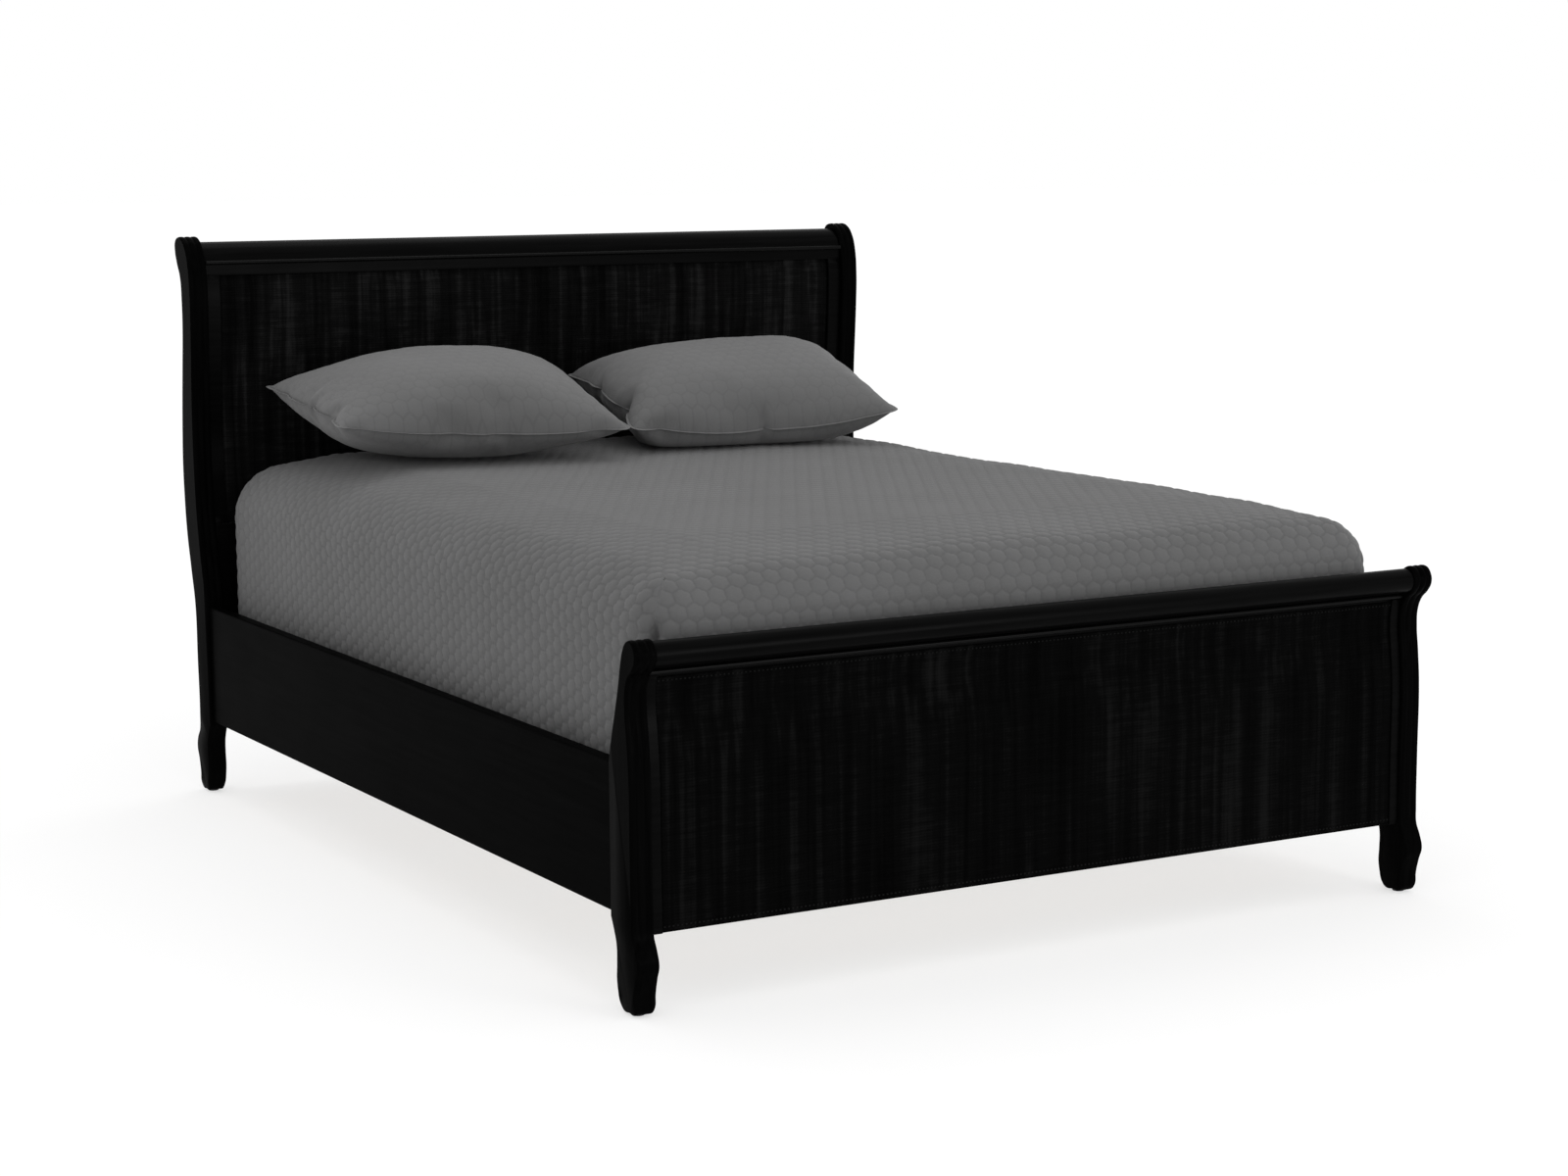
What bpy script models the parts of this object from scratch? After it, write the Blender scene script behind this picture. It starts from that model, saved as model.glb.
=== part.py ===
"""Queen sleigh bed: a black painted frame with woven end panels, slats, foundation, mattress and bedding.

Metres, +Z up. The bed's length runs along Y, with the foot at -Y and the head at +Y. The origin is on the
floor under the middle of the bed. "Out" is the distance from that middle towards an end of the bed.
"""

import math

import bmesh
import bpy
from mathutils import Vector

# Driving dimensions
HALF_WIDTH = 0.85
POST_WIDTH = 0.042
GAP = 0.0003  # clearance between pieces that touch
SHARP_ANGLE = math.radians(35)  # edges sharper than this are bevelled and shaded crisp
WELD_DISTANCE = 0.00001
OUTLINE_STEPS = 2  # straight pieces between two points of a section's outline
FOOT, HEAD = -1, 1  # which way "out" points along Y
END_NAMES = {FOOT: "foot", HEAD: "head"}

GLIDE_HEIGHT = 0.004
GLIDE_RADIUS = 0.011
GLIDE_OUT = {FOOT: 1.045, HEAD: 1.0255}

RAIL_THICKNESS = 0.026
RAIL_BOTTOM, RAIL_TOP = 0.165, 0.4225
RAIL_EDGE_BEVEL = 0.003
POST_FACE = {FOOT: 0.988, HEAD: 0.971}  # out to the flat where a side rail meets the post

PLATE_WIDTH, PLATE_HEIGHT, PLATE_THICKNESS = 0.018, 0.150, 0.0025
PLATE_MIDDLE = 0.295
HOOK_SPACING = 0.080
HOOK_THICKNESS, HOOK_NECK_HEIGHT, HOOK_REACH = 0.004, 0.016, 0.0105
HOOK_DROP = 0.008  # how far a hook's lip hangs behind the post plate
SLOT_WIDTH = 1.5 * HOOK_THICKNESS
POCKET_WIDTH, POCKET_CLEARANCE = 2 * HOOK_THICKNESS, 0.003
CUT_PAST = 0.010  # how far a cutter runs past the face that it cuts

LEDGER_WIDTH, LEDGER_HEIGHT, LEDGER_BOTTOM = 0.022, 0.032, 0.185
LEDGER_ENDS = (-0.94, 0.92)

SLAT_WIDTH, SLAT_THICKNESS = 0.070, 0.018
SLAT_END_CLEARANCE = 0.006
TIMBER_BEVEL = 0.002
SLAT_PLACES = (-0.80, -0.40, 0.0, 0.40, 0.80)
CENTRE_LEG_SLATS = (1, 2, 3)
CENTRE_LEG_SIDE, CENTRE_LEG_BOTTOM = 0.045, 0.014
LEVELLER_PAD_RADIUS, LEVELLER_PAD_HEIGHT = 0.018, 0.010
LEVELLER_STEM_RADIUS, LEVELLER_STEM_LENGTH = 0.005, 0.060
LEVELLER_BORE_RADIUS, LEVELLER_BORE_PAST_STEM = 0.0056, 0.002

STILE_WIDTH = {FOOT: 0.020, HEAD: 0.032}
# Layers of the end panels, from inside to outside, measured outward from the post face that they follow
PANEL_LAYER = {FOOT: (-0.0305, -0.0125), HEAD: (0.0220, 0.0340)}
STILE_LAYER = {FOOT: (-0.0305, -0.0080), HEAD: (0.0120, 0.0340)}
WEAVE_THICKNESS = 0.002
FOOT_WEAVE_BOTTOM, FOOT_WEAVE_TOP = (1.0680, 0.139), (1.0565, 0.568)  # where its outline starts and ends
HEAD_BOARD_BOTTOM, HEAD_BOARD_TOP, HEAD_BOARD_FACES = 0.170, 0.6017, (1.006, 1.032)
BEAD_RADIUS, BEAD_POINTS = 0.0045, 8
BEAD_PLACE = {FOOT: (1.0515, 0.5782), HEAD: (1.0090, 1.1735)}

FOUNDATION_HALF_WIDTH, FOUNDATION_HEIGHT = 0.762, 0.214
MATTRESS_HALF_WIDTH, MATTRESS_TOP = 0.768, 0.7105
MATTRESS_ENDS, MATTRESS_ROUNDING = (-1.008, 0.9925), 0.045  # the foundation's too
COVERLET_HALF_WIDTH, COVERLET_ENDS, COVERLET_TOP = 0.790, (-1.0205, 1.0045), 0.7225
COVERLET_HEM, COVERLET_THICKNESS, COVERLET_ROUNDING = 0.300, 0.010, 0.055
CROWN = 0.0325  # how much higher the bedding is in the middle than at its edges
CROWN_SLOPE = 2  # how quickly the crown rises from the edges

PILLOW_EDGE = 0.012
PILLOW_WAIST = 0.035  # share by which each side is pulled in at its middle
PILLOW_CUTS = 5
PILLOWS = {
    # centre, (width, depth, thickness), turn about Z and recline, both in degrees
    "pillow_left": ((-0.383, 0.690, 0.879), (0.655, 0.500, 0.214), -3.5, 9.5),
    "pillow_right": ((0.342, 0.708, 0.882), (0.620, 0.475, 0.204), -9.0, 14.0),
}

# Side outlines of the posts, as (out, height). A "corner" point is sharp, and every other one is smooth.
FOOT_POST_OUTLINE = [
    (1.026, GLIDE_HEIGHT, "corner"), (1.064, GLIDE_HEIGHT, "corner"), (1.0725, 0.013), (1.073, 0.036),
    (1.080, 0.066), (1.0875, 0.090), (1.080, 0.115), (1.0695, 0.137), (1.0675, 0.165), (1.0655, 0.270),
    (1.0640, 0.410), (1.0580, 0.473), (1.0525, 0.518), (1.0540, 0.552), (1.0640, 0.574), (1.0790, 0.5885),
    (1.0898, 0.607), (1.0850, 0.626), (1.0710, 0.637), (1.0540, 0.6335), (1.0420, 0.617), (1.0340, 0.592),
    (1.0245, 0.552), (1.0120, 0.510), (0.9980, 0.463), (POST_FACE[FOOT], 0.428, "corner"),
    (POST_FACE[FOOT], 0.160, "corner"), (0.9990, 0.137), (1.0070, 0.115), (1.0080, 0.080), (1.0070, 0.055),
    (1.0120, 0.030), (1.0170, 0.013),
]
HEAD_POST_OUTLINE = [
    (1.009, GLIDE_HEIGHT, "corner"), (1.042, GLIDE_HEIGHT, "corner"), (1.0495, 0.013), (1.0490, 0.040),
    (1.0560, 0.070), (1.0650, 0.095), (1.0600, 0.118), (1.0440, 0.140), (1.0400, 0.170), (1.0410, 0.300),
    (1.0430, 0.420), (1.0610, 0.500), (1.0790, 0.580), (1.0875, 0.665), (1.0898, 0.735), (1.0850, 0.800),
    (1.0780, 0.870), (1.0680, 0.950), (1.0585, 1.030), (1.0570, 1.090), (1.0625, 1.142), (1.0790, 1.172),
    (1.0890, 1.198), (1.0872, 1.219), (1.0680, 1.230), (1.0400, 1.223), (1.0190, 1.202), (1.0070, 1.172),
    (0.9995, 1.110), (1.0010, 1.040), (1.0060, 0.960), (1.0115, 0.880), (1.0140, 0.780), (1.0100, 0.660),
    (0.9990, 0.570), (0.9850, 0.500), (POST_FACE[HEAD], 0.432, "corner"),
    (POST_FACE[HEAD], 0.160, "corner"), (0.9810, 0.140), (0.9895, 0.118), (0.9910, 0.090), (0.9895, 0.060),
    (0.9945, 0.032), (1.0005, 0.013),
]

# The posts' faces that a panel follows, between the heights where a panel can lie, as (out, height)
FOOT_FACE = [
    (1.0680, 0.137), (1.0655, 0.270), (1.0640, 0.410), (1.0580, 0.473), (1.0525, 0.518), (1.0532, 0.545),
    (1.0570, 0.5715),
]
HEAD_FACE = [
    (1.0030, 0.602), (1.0100, 0.660), (1.0140, 0.780), (1.0115, 0.880), (1.0060, 0.960), (1.0010, 1.040),
    (0.9995, 1.110), (1.0030, 1.146),
]

# Sections of the top rolls
FOOT_ROLL_OUTLINE = [
    (1.0300, 0.5725, "corner"), (1.0450, 0.5725, "corner"), (1.0460, 0.5850), (1.0580, 0.5860),
    (1.0720, 0.5890), (1.0830, 0.6000), (1.0850, 0.6130), (1.0770, 0.6270), (1.0620, 0.6325),
    (1.0480, 0.6270), (1.0390, 0.6140), (1.0330, 0.5940),
]
HEAD_ROLL_OUTLINE = [
    (1.0400, 1.1465, "corner"), (1.0130, 1.1465, "corner"), (1.0140, 1.1640), (1.0150, 1.1780),
    (1.0210, 1.1930), (1.0340, 1.2080), (1.0500, 1.2160), (1.0660, 1.2170), (1.0790, 1.2090),
    (1.0830, 1.1960), (1.0770, 1.1820), (1.0620, 1.1700), (1.0450, 1.1620),
]

PAINT = (0.012, 0.011, 0.011, 1.0)
WOVEN_FIBRE = (0.020, 0.018, 0.017, 1.0)
STEEL = (0.30, 0.29, 0.28, 1.0)
PINE = (0.55, 0.40, 0.24, 1.0)
NYLON = (0.05, 0.05, 0.05, 1.0)
TICKING = (0.62, 0.61, 0.58, 1.0)
QUILT_GREY = (0.135, 0.135, 0.137, 1.0)


def clear_scene():
    for obj in list(bpy.data.objects):
        bpy.data.objects.remove(obj, do_unlink=True)


def new_collection(name):
    collection = bpy.data.collections.new(name)
    bpy.context.scene.collection.children.link(collection)
    return collection


def new_material(name, colour, roughness, metallic=0.0):
    material = bpy.data.materials.new(name)
    material.use_nodes = True
    shader = material.node_tree.nodes["Principled BSDF"]
    shader.inputs["Base Color"].default_value = colour
    shader.inputs["Roughness"].default_value = roughness
    shader.inputs["Metallic"].default_value = metallic
    return material


def add_object(name, data, material, collection):
    """A new object for a mesh or curve, with one material."""
    obj = bpy.data.objects.new(name, data)
    collection.objects.link(obj)
    if material:
        data.materials.append(material)
    return obj


def mesh_from(name, bm):
    mesh = bpy.data.meshes.new(name)
    bm.to_mesh(mesh)
    bm.free()
    return mesh


def box(name, low, high, material, collection, bevel=0.0):
    """A box between two corners, with its origin in its middle."""
    low, high = Vector(low), Vector(high)
    bm = bmesh.new()
    bmesh.ops.create_cube(bm, size=1.0)
    bmesh.ops.scale(bm, vec=high - low, verts=bm.verts)
    obj = add_object(name, mesh_from(name, bm), material, collection)
    obj.location = (low + high) / 2
    if bevel:
        add_bevel(obj, bevel, 2)
    return obj


def add_bevel(obj, width, segments):
    bevel = obj.modifiers.new("bevel", "BEVEL")
    bevel.width = width
    bevel.segments = segments
    bevel.limit_method = "ANGLE"
    bevel.angle_limit = SHARP_ANGLE


def shade_round(mesh):
    """Smooth shading, with edges sharper than SHARP_ANGLE left crisp."""
    mesh.shade_smooth()
    mesh.set_sharp_from_angle(angle=SHARP_ANGLE)


def cylinder(name, radius, low, top, material, collection, segments=24):
    """An upright cylinder from the middle of its lower end, which is its origin, up to a height."""
    height = top - low[2]
    bm = bmesh.new()
    bmesh.ops.create_cone(bm, cap_ends=True, segments=segments, radius1=radius, radius2=radius, depth=height)
    bmesh.ops.translate(bm, vec=(0, 0, height / 2), verts=bm.verts)
    mesh = mesh_from(name, bm)
    shade_round(mesh)
    obj = add_object(name, mesh, material, collection)
    obj.location = low
    return obj


def section(name, outline, end, x_low, x_high, material, collection):
    """A closed outline of (out, height) points, extruded along X between two places."""
    curve = bpy.data.curves.new(name, "CURVE")
    curve.dimensions = "2D"
    curve.fill_mode = "BOTH"
    curve.resolution_u = OUTLINE_STEPS
    curve.extrude = (x_high - x_low) / 2
    spline = curve.splines.new("BEZIER")
    spline.bezier_points.add(len(outline) - 1)
    spline.use_cyclic_u = True
    for point, place in zip(spline.bezier_points, outline):
        point.co = (end * place[0], place[1], 0)
        handle = "VECTOR" if len(place) == 3 else "AUTO"
        point.handle_left_type = handle
        point.handle_right_type = handle
    obj = add_object(name, curve, None, collection)
    # The curve's X, Y and Z become the bed's Y, Z and X.
    obj.rotation_euler = (math.pi / 2, 0, math.pi / 2)
    obj.location = ((x_low + x_high) / 2, 0, 0)
    return curve_to_mesh(obj, material, collection)


def curve_to_mesh(curve_object, material, collection):
    """Replaces a filled curve with a mesh whose end faces are welded to its sides."""
    bpy.context.view_layer.update()
    graph = bpy.context.evaluated_depsgraph_get()
    mesh = bpy.data.meshes.new_from_object(curve_object.evaluated_get(graph))
    bm = bmesh.new()
    bm.from_mesh(mesh)
    bmesh.ops.remove_doubles(bm, verts=bm.verts, dist=WELD_DISTANCE)
    bmesh.ops.recalc_face_normals(bm, faces=bm.faces)
    bm.to_mesh(mesh)
    bm.free()
    name, matrix = curve_object.name, curve_object.matrix_world.copy()
    bpy.data.objects.remove(curve_object, do_unlink=True)
    mesh.materials.clear()
    shade_round(mesh)
    obj = add_object(name, mesh, material, collection)
    obj.matrix_world = matrix
    return obj


def strip_between(face, near, far):
    """The outline of a strip that follows a face, from `near` to `far` beyond it, with sharp corners."""
    first = [(out + near, height) for out, height in face]
    second = [(out + far, height) for out, height in reversed(face)]
    corners = (first[0], first[-1], second[0], second[-1])
    return [(*place, "corner") if place in corners else place for place in first + second]


def cut(target, cutter):
    modifier = target.modifiers.new("cut " + cutter.name, "BOOLEAN")
    modifier.operation = "DIFFERENCE"
    modifier.solver = "EXACT"
    modifier.object = cutter
    cutter.hide_render = True
    cutter.display_type = "WIRE"


def join(target, other):
    """Unites two meshes in place and removes the second."""
    modifier = target.modifiers.new("join", "BOOLEAN")
    modifier.operation = "UNION"
    modifier.solver = "EXACT"
    modifier.object = other
    bpy.context.view_layer.update()
    graph = bpy.context.evaluated_depsgraph_get()
    mesh = bpy.data.meshes.new_from_object(target.evaluated_get(graph))
    target.modifiers.clear()
    target.data = mesh
    bpy.data.objects.remove(other, do_unlink=True)


def sides():
    return (("left", -1), ("right", 1))


def across(side, near, far):
    """The X range between two distances from the bed's middle, on one side."""
    return tuple(sorted((side * near, side * far)))


def out_range(end, near, far):
    """The Y range between two distances out, at one end."""
    return tuple(sorted((end * near, end * far)))


def post_middle(side):
    return side * (HALF_WIDTH - POST_WIDTH / 2)


def span(middle, width):
    return middle - width / 2, middle + width / 2


def make_posts(parts, cutters, paint):
    for label, side in sides():
        for end, outline in ((FOOT, FOOT_POST_OUTLINE), (HEAD, HEAD_POST_OUTLINE)):
            low, high = across(side, HALF_WIDTH - POST_WIDTH, HALF_WIDTH)
            post = section(f"{END_NAMES[end]}_post_{label}", outline, end, low, high, paint, parts)
            cut_plate_mortise(post, side, end, cutters)


def hook_heights():
    return (PLATE_MIDDLE - HOOK_SPACING / 2, PLATE_MIDDLE + HOOK_SPACING / 2)


def cut_plate_mortise(post, side, end, cutters):
    """A shallow recess for the post plate, and a deeper pocket behind each of its slots."""
    face = POST_FACE[end]
    x_low, x_high = span(post_middle(side), PLATE_WIDTH + 2 * GAP)
    y_low, y_high = out_range(end, face - CUT_PAST, face + PLATE_THICKNESS + GAP)
    z_low, z_high = span(PLATE_MIDDLE, PLATE_HEIGHT + 2 * GAP)
    recess = box(post.name + "_recess", (x_low, y_low, z_low), (x_high, y_high, z_high), None, cutters)
    cut(post, recess)
    x_low, x_high = span(post_middle(side), POCKET_WIDTH)
    y_low, y_high = out_range(end, face - CUT_PAST, face + HOOK_REACH + POCKET_CLEARANCE)
    for index, height in enumerate(hook_heights()):
        z_low, z_high = span(height, HOOK_NECK_HEIGHT + 2 * HOOK_DROP + 2 * POCKET_CLEARANCE)
        low, high = (x_low, y_low, z_low), (x_high, y_high, z_high)
        cut(post, box(f"{post.name}_pocket_{index}", low, high, None, cutters))


def make_post_plates(parts, cutters, steel):
    """Slotted steel plates, flush in the posts, that the side rails' hooks drop into."""
    for label, side in sides():
        for end, place in END_NAMES.items():
            x_low, x_high = span(post_middle(side), PLATE_WIDTH)
            y_low, y_high = out_range(end, POST_FACE[end], POST_FACE[end] + PLATE_THICKNESS)
            z_low, z_high = span(PLATE_MIDDLE, PLATE_HEIGHT)
            name = f"post_plate_{place}_{label}"
            plate = box(name, (x_low, y_low, z_low), (x_high, y_high, z_high), steel, parts)
            x_low, x_high = span(post_middle(side), SLOT_WIDTH)
            for index, height in enumerate(hook_heights()):
                z_low, z_high = span(height, HOOK_NECK_HEIGHT + 2 * GAP)
                z_high += HOOK_DROP + GAP  # room to lift the rail until the hook's lip clears the plate
                low, high = (x_low, y_low - CUT_PAST, z_low), (x_high, y_high + CUT_PAST, z_high)
                cut(plate, box(f"{name}_slot_{index}", low, high, None, cutters))


def make_hook_plates(parts, steel):
    """The plate on each side rail's end, with two hooks that go through the post plate's slots."""
    for label, side in sides():
        for end, place in END_NAMES.items():
            face = POST_FACE[end]
            x_low, x_high = span(post_middle(side), PLATE_WIDTH)
            y_low, y_high = out_range(end, face - GAP - PLATE_THICKNESS, face - GAP)
            z_low, z_high = span(PLATE_MIDDLE, PLATE_HEIGHT)
            name = f"rail_hook_{place}_{label}"
            plate = box(name, (x_low, y_low, z_low), (x_high, y_high, z_high), steel, parts)
            for height in hook_heights():
                join(plate, hook_piece(side, end, height, -GAP - PLATE_THICKNESS / 2, 0, parts))
                join(plate, hook_piece(side, end, height, PLATE_THICKNESS + 2 * GAP, HOOK_DROP, parts))


def hook_piece(side, end, height, near, drop, parts):
    """A block of a hook, from `near` past the post's face to the tip, reaching `drop` below its neck."""
    x_low, x_high = span(post_middle(side), HOOK_THICKNESS)
    y_low, y_high = out_range(end, POST_FACE[end] + near, POST_FACE[end] + HOOK_REACH)
    z_low, z_high = span(height, HOOK_NECK_HEIGHT)
    return box("hook", (x_low, y_low, z_low - drop), (x_high, y_high, z_high), None, parts)


def cut_rail_recess(rail, side, end, cutters):
    """A shallow recess in a rail's end for its hook plate, so that the rail meets the post all round it."""
    face = POST_FACE[end]
    x_low, x_high = span(post_middle(side), PLATE_WIDTH + 2 * GAP)
    y_low, y_high = out_range(end, face - PLATE_THICKNESS - 2 * GAP, face + CUT_PAST)
    z_low, z_high = span(PLATE_MIDDLE, PLATE_HEIGHT + 2 * GAP)
    name = f"{rail.name}_recess_{END_NAMES[end]}"
    cut(rail, box(name, (x_low, y_low, z_low), (x_high, y_high, z_high), None, cutters))


def make_side_rails(parts, cutters, paint, pine):
    ends = [end * (POST_FACE[end] - GAP) for end in (FOOT, HEAD)]
    inner = post_middle(1) - RAIL_THICKNESS / 2 - GAP
    for label, side in sides():
        x_low, x_high = span(post_middle(side), RAIL_THICKNESS)
        low, high = (x_low, ends[0], RAIL_BOTTOM), (x_high, ends[1], RAIL_TOP)
        rail = box(f"side_rail_{label}", low, high, paint, parts, bevel=RAIL_EDGE_BEVEL)
        for end in END_NAMES:
            cut_rail_recess(rail, side, end, cutters)
        x_low, x_high = across(side, inner - LEDGER_WIDTH, inner)
        low = (x_low, LEDGER_ENDS[0], LEDGER_BOTTOM)
        high = (x_high, LEDGER_ENDS[1], LEDGER_BOTTOM + LEDGER_HEIGHT)
        box(f"ledger_{label}", low, high, pine, parts)


def slat_underside():
    return LEDGER_BOTTOM + LEDGER_HEIGHT + GAP


def make_slats(parts, pine):
    """Cross slats that lie on the two ledgers."""
    half_length = post_middle(1) - RAIL_THICKNESS / 2 - SLAT_END_CLEARANCE
    bottom, top = slat_underside(), slat_underside() + SLAT_THICKNESS
    for number, place in enumerate(SLAT_PLACES, start=1):
        y_low, y_high = span(place, SLAT_WIDTH)
        low, high = (-half_length, y_low, bottom), (half_length, y_high, top)
        box(f"slat_{number}", low, high, pine, parts, bevel=TIMBER_BEVEL)


def make_centre_legs(parts, cutters, pine, nylon):
    """A leg under the middle of three slats, each bored for a threaded leveller."""
    half = CENTRE_LEG_SIDE / 2
    bore_top = LEVELLER_PAD_HEIGHT + LEVELLER_STEM_LENGTH + LEVELLER_BORE_PAST_STEM
    for number, index in enumerate(CENTRE_LEG_SLATS, start=1):
        place = SLAT_PLACES[index]
        low = (-half, place - half, CENTRE_LEG_BOTTOM)
        high = (half, place + half, slat_underside() - GAP)
        leg = box(f"centre_leg_{number}", low, high, pine, parts, bevel=TIMBER_BEVEL)
        start = (0, place, CENTRE_LEG_BOTTOM - CUT_PAST)
        bore = cylinder(leg.name + "_bore", LEVELLER_BORE_RADIUS, start, bore_top, None, cutters, segments=16)
        cut(leg, bore)
        make_leveller(f"leveller_{number}", place, parts, nylon)


def make_leveller(name, place, parts, nylon):
    """A round pad on an upright threaded stem, drawn plain, as one turned profile."""
    top = LEVELLER_PAD_HEIGHT + LEVELLER_STEM_LENGTH
    profile = [
        (0, top),
        (LEVELLER_STEM_RADIUS, top),
        (LEVELLER_STEM_RADIUS, LEVELLER_PAD_HEIGHT),
        (LEVELLER_PAD_RADIUS * 0.8, LEVELLER_PAD_HEIGHT),
        (LEVELLER_PAD_RADIUS, LEVELLER_PAD_HEIGHT * 0.6),
        (LEVELLER_PAD_RADIUS, 0),
        (0, 0),
    ]
    bm = bmesh.new()
    points = [bm.verts.new((radius, 0, height)) for radius, height in profile]
    for first, second in zip(points, points[1:]):
        bm.edges.new((first, second))
    obj = add_object(name, mesh_from(name, bm), nylon, parts)
    obj.location = (0, place, 0)
    screw = obj.modifiers.new("turn", "SCREW")
    screw.steps = 16
    screw.render_steps = screw.steps
    screw.use_merge_vertices = True
    screw.merge_threshold = WELD_DISTANCE


def make_glides(parts, nylon):
    """A round nylon glide under each post."""
    for label, side in sides():
        for end, place in END_NAMES.items():
            low = (post_middle(side), end * GLIDE_OUT[end], 0)
            cylinder(f"glide_{place}_{label}", GLIDE_RADIUS, low, GLIDE_HEIGHT - GAP, nylon, parts)


def make_end_board(end, face, roll, weave, paint, fibre, parts):
    """What both ends share: a top roll, a bead under it, and a panel between two stiles with a woven face."""
    name = END_NAMES[end] + "board"
    inner = HALF_WIDTH - POST_WIDTH - GAP
    field = inner - STILE_WIDTH[end]
    section(name + "_top_roll", roll, end, -inner, inner, paint, parts)
    section(name + "_bead", bead_outline(*BEAD_PLACE[end]), end, -inner, inner, paint, parts)
    section(name + "_panel", strip_between(face, *PANEL_LAYER[end]), end, -field, field, paint, parts)
    section(name + "_weave", weave, end, -field, field, fibre, parts)
    for label, side in sides():
        low, high = across(side, field + GAP, inner)
        stile = strip_between(face, *STILE_LAYER[end])
        section(f"{name}_stile_{label}", stile, end, low, high, paint, parts)


def make_footboard(parts, paint, fibre):
    """The weave lies on the panel's outer face."""
    near = PANEL_LAYER[FOOT][1] + GAP
    weave_face = [FOOT_WEAVE_BOTTOM, *FOOT_FACE[1:-1], FOOT_WEAVE_TOP]
    weave = strip_between(weave_face, near, near + WEAVE_THICKNESS)
    make_end_board(FOOT, FOOT_FACE, FOOT_ROLL_OUTLINE, weave, paint, fibre, parts)


def make_headboard(parts, paint, fibre):
    """The weave lies on the panel's inner face, towards the pillows, and a board closes the end below it."""
    far = PANEL_LAYER[HEAD][0] - GAP
    weave = strip_between(HEAD_FACE, far - WEAVE_THICKNESS, far)
    make_end_board(HEAD, HEAD_FACE, HEAD_ROLL_OUTLINE, weave, paint, fibre, parts)
    inner = HALF_WIDTH - POST_WIDTH - GAP
    low = (-inner, HEAD_BOARD_FACES[0], HEAD_BOARD_BOTTOM)
    high = (inner, HEAD_BOARD_FACES[1], HEAD_BOARD_TOP)
    box("headboard_lower_board", low, high, paint, parts, bevel=TIMBER_BEVEL)


def bead_outline(out, height):
    """A round bead, as points on a circle."""
    turns = [math.tau * index / BEAD_POINTS for index in range(BEAD_POINTS)]
    return [(out + BEAD_RADIUS * math.cos(turn), height + BEAD_RADIUS * math.sin(turn)) for turn in turns]


def soft_block(name, half_width, ends, heights, crown, rounding, material, collection, is_open=False):
    """A rounded block with a crowned top. An open one has no underside."""
    length, height = ends[1] - ends[0], heights[1] - heights[0]
    bm = bmesh.new()
    bmesh.ops.create_cube(bm, size=1.0)
    bmesh.ops.scale(bm, vec=(2 * half_width, length, height), verts=bm.verts)
    bm.normal_update()
    upper = [face for face in bm.faces if face.normal.z > 0.9]
    lower = [face for face in bm.faces if face.normal.z < -0.9]
    if is_open:
        bmesh.ops.delete(bm, geom=lower, context="FACES_ONLY")
    rim = [edge for face in upper for edge in face.edges]
    uprights = [edge for edge in bm.edges if abs(edge.verts[0].co.z - edge.verts[1].co.z) > height / 2]
    bmesh.ops.bevel(bm, geom=rim + uprights, offset=rounding, segments=3, profile=0.5, affect="EDGES")
    bm.normal_update()
    flat = max((face for face in bm.faces if face.normal.z > 0.9), key=lambda face: face.calc_area())
    bmesh.ops.inset_region(bm, faces=[flat], thickness=half_width / 3, use_even_offset=True)
    for vert in bm.verts:
        shares = (1 - (vert.co.x / half_width) ** 2, 1 - (2 * vert.co.y / length) ** 2)
        if vert.co.z > height / 2 - rounding:
            vert.co.z += crown * math.prod(min(1.0, CROWN_SLOPE * max(0.0, share)) for share in shares)
    mesh = mesh_from(name, bm)
    mesh.shade_smooth()
    obj = add_object(name, mesh, material, collection)
    obj.location = (0, sum(ends) / 2, sum(heights) / 2)
    return obj


def make_bedding(parts, ticking, quilt):
    """The foundation on the slats, the mattress on it, and the coverlet over both."""
    base = slat_underside() + SLAT_THICKNESS + GAP
    top = base + FOUNDATION_HEIGHT
    ends, rounding = MATTRESS_ENDS, MATTRESS_ROUNDING
    soft_block("foundation", FOUNDATION_HALF_WIDTH, ends, (base, top), 0.0, rounding, ticking, parts)
    heights = (top + GAP, MATTRESS_TOP)
    soft_block("mattress", MATTRESS_HALF_WIDTH, ends, heights, CROWN, rounding, ticking, parts)
    ends, heights, rounding = COVERLET_ENDS, (COVERLET_HEM, COVERLET_TOP), COVERLET_ROUNDING
    coverlet = soft_block(
        "coverlet", COVERLET_HALF_WIDTH, ends, heights, CROWN, rounding, quilt, parts, is_open=True
    )
    thicken = coverlet.modifiers.new("thickness", "SOLIDIFY")
    thicken.thickness = COVERLET_THICKNESS
    thicken.offset = -1


def make_pillow(name, centre, size, turn, recline, material, collection):
    """A closed pillow form: thick in the middle, thin at its edges, with its sides pulled in."""
    width, depth, thickness = size
    bm = bmesh.new()
    bmesh.ops.create_cube(bm, size=2.0)
    bmesh.ops.subdivide_edges(bm, edges=bm.edges, cuts=PILLOW_CUTS, use_grid_fill=True)
    for vert in bm.verts:
        u, v, w = vert.co
        swell = math.sqrt(max(0.0, (1 - u**4) * (1 - v**4)))
        half = PILLOW_EDGE / 2 + (thickness - PILLOW_EDGE) / 2 * swell
        x = u * width / 2 * (1 - PILLOW_WAIST * (1 - v * v))
        y = v * depth / 2 * (1 - PILLOW_WAIST * (1 - u * u))
        vert.co = (x, y, w * half)
    mesh = mesh_from(name, bm)
    mesh.shade_smooth()
    pillow = add_object(name, mesh, material, collection)
    pillow.rotation_euler = (math.radians(recline), 0, math.radians(turn))
    pillow.location = centre


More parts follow.
